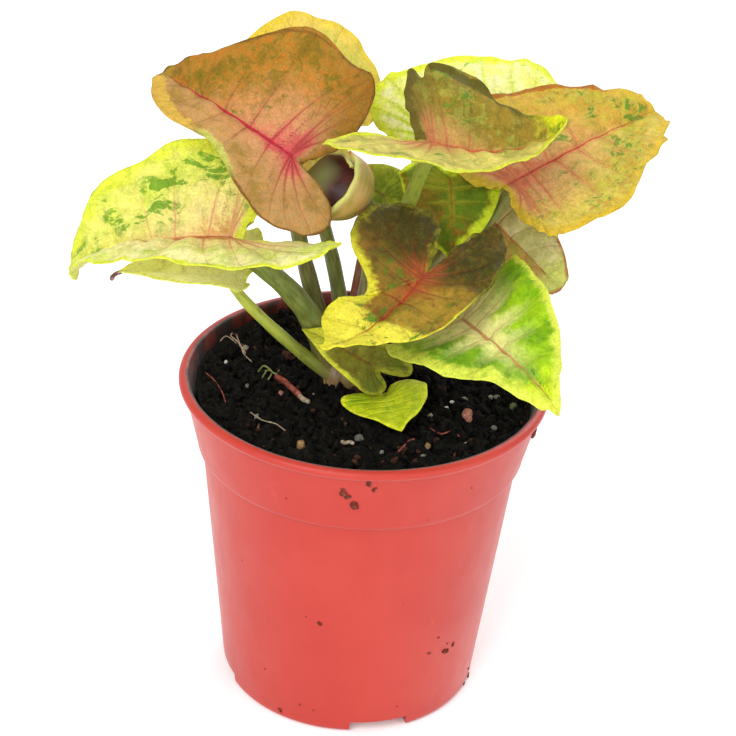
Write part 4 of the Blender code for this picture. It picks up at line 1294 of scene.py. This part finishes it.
def pot_material():
    """Red nursery-pot plastic: faint clouding, a dull bloom, fine scuffs and a dark brown inner wall above
    the soil.
    """
    p = Paint("terracotta_plastic")
    spot = p.add("ShaderNodeTexCoord").outputs["Object"]
    split = p.add("ShaderNodeSeparateXYZ")
    p.put(split.inputs[0], spot)
    x, y, height = split.outputs[:3]
    slow = p.noise(spot, 60, 3, 0.6)
    fine = p.noise(spot, 1400, 3, 0.6)
    dust = p.noise(p.stretch(spot, (1.0, 1.0, 0.5)), 220, 4, 0.7)
    colour = p.mix(p.step(slow, 0.3, 0.7), (178, 49, 38), (184, 56, 44))
    colour = p.mix(p.step(dust, 0.60, 0.8, 0.0, 0.22), colour, (214, 104, 90))
    flare = (RIM_RADIUS - LIP_WIDTH / 3 - COLLAR_FOOT_RADIUS) / COLLAR_HEIGHT
    wall = (COLLAR_FOOT_RADIUS - flare * (POT_HEIGHT - COLLAR_HEIGHT)) * MM
    radius = p.math("SQRT", p.plus(p.times(x, x), p.times(y, y)))
    level = p.less(radius, p.times(height, flare))
    inside = p.times(p.step(level, wall - 0.35 * MM, wall - 0.75 * MM),
                     p.step(height, (POT_HEIGHT - 5.5) * MM, (POT_HEIGHT - 5.0) * MM))
    # The inner wall near the rim is darkened to brown, patchy with the dust noise.
    colour = p.mix(p.times(inside, p.step(dust, 0.35, 0.6, 0.6, 1.0)), colour, (48, 32, 26))
    p.shine(Specular_IOR_Level=0.35, Sheen_Weight=0.20, Sheen_Roughness=0.35)
    return p.finish(colour, p.step(dust, 0.3, 0.7, 0.38, 0.50), p.bump(fine, 0.00003, 0.5))


def pot_profile():
    """The pot's section with rounded lip and edges, from inside under the soil to under the floor."""
    collar_foot = POT_HEIGHT - COLLAR_HEIGHT
    top = POT_HEIGHT
    inner_top = pot_outer_radius(top) - WALL
    under = pot_outer_radius(collar_foot - 0.1)
    lip = [(inner_top, top - 1.4), (inner_top + 0.02, top - 0.7), (inner_top + 0.2, top - 0.25)]
    middle, half = RIM_RADIUS - LIP_ROUND, LIP_HEIGHT / 2
    for turn in range(125, -91, -15):
        angle = math.radians(turn)
        lip.append((middle + LIP_ROUND * math.cos(angle), top - half + half * math.sin(angle)))
    inside = [(0, FLOOR), (pot_outer_radius(FLOOR) - WALL - 1.0, FLOOR),
              (pot_outer_radius(FLOOR + 1) - WALL, FLOOR + 1.0),
              (under - WALL, collar_foot - 1.0),
              (pot_outer_radius(collar_foot) - WALL, collar_foot + 1.0)]
    neck = [(pot_outer_radius(top - LIP_HEIGHT - 0.3), top - LIP_HEIGHT - 0.15),
            (pot_outer_radius(top - LIP_HEIGHT - 0.7), top - LIP_HEIGHT - 0.7)]
    step = [(COLLAR_FOOT_RADIUS + 0.04, collar_foot + 0.8), (COLLAR_FOOT_RADIUS, collar_foot + 0.4),
            (COLLAR_FOOT_RADIUS - 0.12, collar_foot + 0.12), (COLLAR_FOOT_RADIUS - 0.35, collar_foot - 0.02),
            (under + 0.25, collar_foot - 0.15), (under + 0.05, collar_foot - 0.4), (under, collar_foot - 0.9)]
    foot = [(pot_outer_radius(1.2), 1.2), (pot_outer_radius(0.6) - 0.02, 0.6),
            (pot_outer_radius(0.25) - 0.12, 0.25), (BASE_RADIUS - 0.35, 0.06), (BASE_RADIUS - 0.6, 0), (0, 0)]
    return inside + lip + neck + step + foot


def pot_cutters():
    """Two helpers that cut the pot: its four channels under the floor and its four drain holes."""
    channels, drains = bmesh.new(), bmesh.new()
    length = BASE_RADIUS + 4 - NOTCH_START
    box = Matrix.Diagonal((length * MM, NOTCH_WIDTH * MM, 2 * NOTCH_HEIGHT * MM, 1))
    box = Matrix.Translation(((NOTCH_START + length / 2) * MM, 0, 0)) @ box
    hole = Matrix.Translation((DRAIN_AT * MM, 0, 0))
    for index in range(4):
        turn = Matrix.Rotation(math.radians(NOTCH_TURN + 90 * index), 4, "Z")
        bmesh.ops.create_cube(channels, size=1, matrix=turn @ box)
        bmesh.ops.create_cone(drains, cap_ends=True, segments=32, radius1=DRAIN_RADIUS * MM,
                              radius2=DRAIN_RADIUS * MM, depth=3 * FLOOR * MM, matrix=turn @ hole)
    helpers = []
    for name, shape in (("channels", channels), ("drains", drains)):
        mesh = bpy.data.meshes.new(name)
        shape.to_mesh(mesh)
        shape.free()
        helpers.append(link(name, mesh))
    return helpers


def build_pot():
    """The pot, turned finely, with its drainage channels and holes cut as in the solid."""
    mesh = bpy.data.meshes.new("pot_turned")
    work = bmesh.new()
    ring = [work.verts.new((radius * MM, 0, height * MM)) for radius, height in pot_profile()]
    lines = [work.edges.new(pair) for pair in zip(ring, ring[1:])]
    bmesh.ops.spin(work, geom=ring + lines, cent=(0, 0, 0), axis=(0, 0, 1), angle=math.tau,
                   steps=POT_SIDES, use_duplicate=False)
    bmesh.ops.remove_doubles(work, verts=work.verts[:], dist=0.001 * MM)
    bmesh.ops.recalc_face_normals(work, faces=work.faces[:])
    work.to_mesh(mesh)
    work.free()
    pot = link("pot_turned", mesh)
    helpers = pot_cutters()
    for helper in helpers:
        cut = pot.modifiers.new(helper.name, "BOOLEAN")
        cut.operation = "DIFFERENCE"
        cut.object = helper
    bpy.context.view_layer.update()
    seen = pot.evaluated_get(bpy.context.evaluated_depsgraph_get())
    cut_mesh = bpy.data.meshes.new_from_object(seen)
    cut_mesh.name = "pot_shell"
    for thing in helpers + [pot]:
        bpy.data.objects.remove(thing)
    cut_mesh.materials.clear()
    cut_mesh.shade_smooth()
    cut_mesh.set_sharp_from_angle(angle=math.radians(38))
    add_piece("pot_shell", cut_mesh, [pot_material()], ("pot",))


# The stage: the floor, which lies a little below the pot's foot, then each lamp's place and size in
# metres and its power, and the place they all look at.
FLOOR_HALF = 3000.0
FLOOR_DROP = 0.2
SKY_STRENGTH = 0.68
LAMPS = {
    "key": ((-0.30, -0.55, 0.60), 0.5, 5.3),
    "back": ((0.25, 0.55, 0.5), 0.5, 2.6),
    "side": ((0.55, -0.45, 0.30), 0.45, 1.6),
}
LAMPS_AIM = Vector((0, 0, 0.06))


def build_floor():
    """A white floor, which fades into the white sky."""
    corners = [(x * FLOOR_HALF, y * FLOOR_HALF, 0) for x, y in ((-1, -1), (1, -1), (1, 1), (-1, 1))]
    mesh = make_mesh("floor", corners, [(0, 1, 2, 3)], False)
    floor = link("floor", mesh)
    floor.location.z = -FLOOR_DROP * MM
    p = Paint("paper_white")
    p.shine(Emission_Color=(1.0, 1.0, 1.0, 1.0), Emission_Strength=0.10)
    mesh.materials.append(p.finish((0.94, 0.94, 0.95, 1.0), 0.9))


def build_lights():
    """The sky and three soft lamps that look at the plant."""
    world = bpy.context.scene.world or bpy.data.worlds.new("World")
    bpy.context.scene.world = world
    world.use_nodes = True
    sky = world.node_tree.nodes["Background"]
    sky.inputs["Color"].default_value = (1.0, 1.0, 1.0, 1.0)
    sky.inputs["Strength"].default_value = SKY_STRENGTH
    for name, (place, size, power) in LAMPS.items():
        light = bpy.data.lights.new(name, "AREA")
        light.energy = power
        light.size = size
        lamp = link(name, light)
        lamp.location = place
        lamp.rotation_euler = (LAMPS_AIM - Vector(place)).to_track_quat("-Z", "Y").to_euler()


def build_camera():
    """The camera that took the photo, with colours shown as they are."""
    lens = bpy.data.cameras.new("camera")
    lens.lens = LENS
    lens.sensor_width = SENSOR
    camera = link("camera", lens)
    right, up, back = camera_axes()
    turned = Matrix((right, up, back)).transposed().to_4x4()
    spot = Matrix.Translation((CAMERA_TARGET + back * CAMERA_DISTANCE) * MM)
    camera.matrix_world = spot @ turned @ Matrix.Rotation(math.radians(CAMERA_ROLL), 4, "Z")
    bpy.context.scene.camera = camera
    bpy.context.scene.view_settings.view_transform = "Standard"


build_floor()
build_lights()
build_camera()
for number, leaf in enumerate(LEAVES):
    blade_piece(leaf, number)
build_young_leaf()
build_stalks()
build_soil()
build_grains()
build_litter()
build_dry_tip()
build_pot()
build_specks()
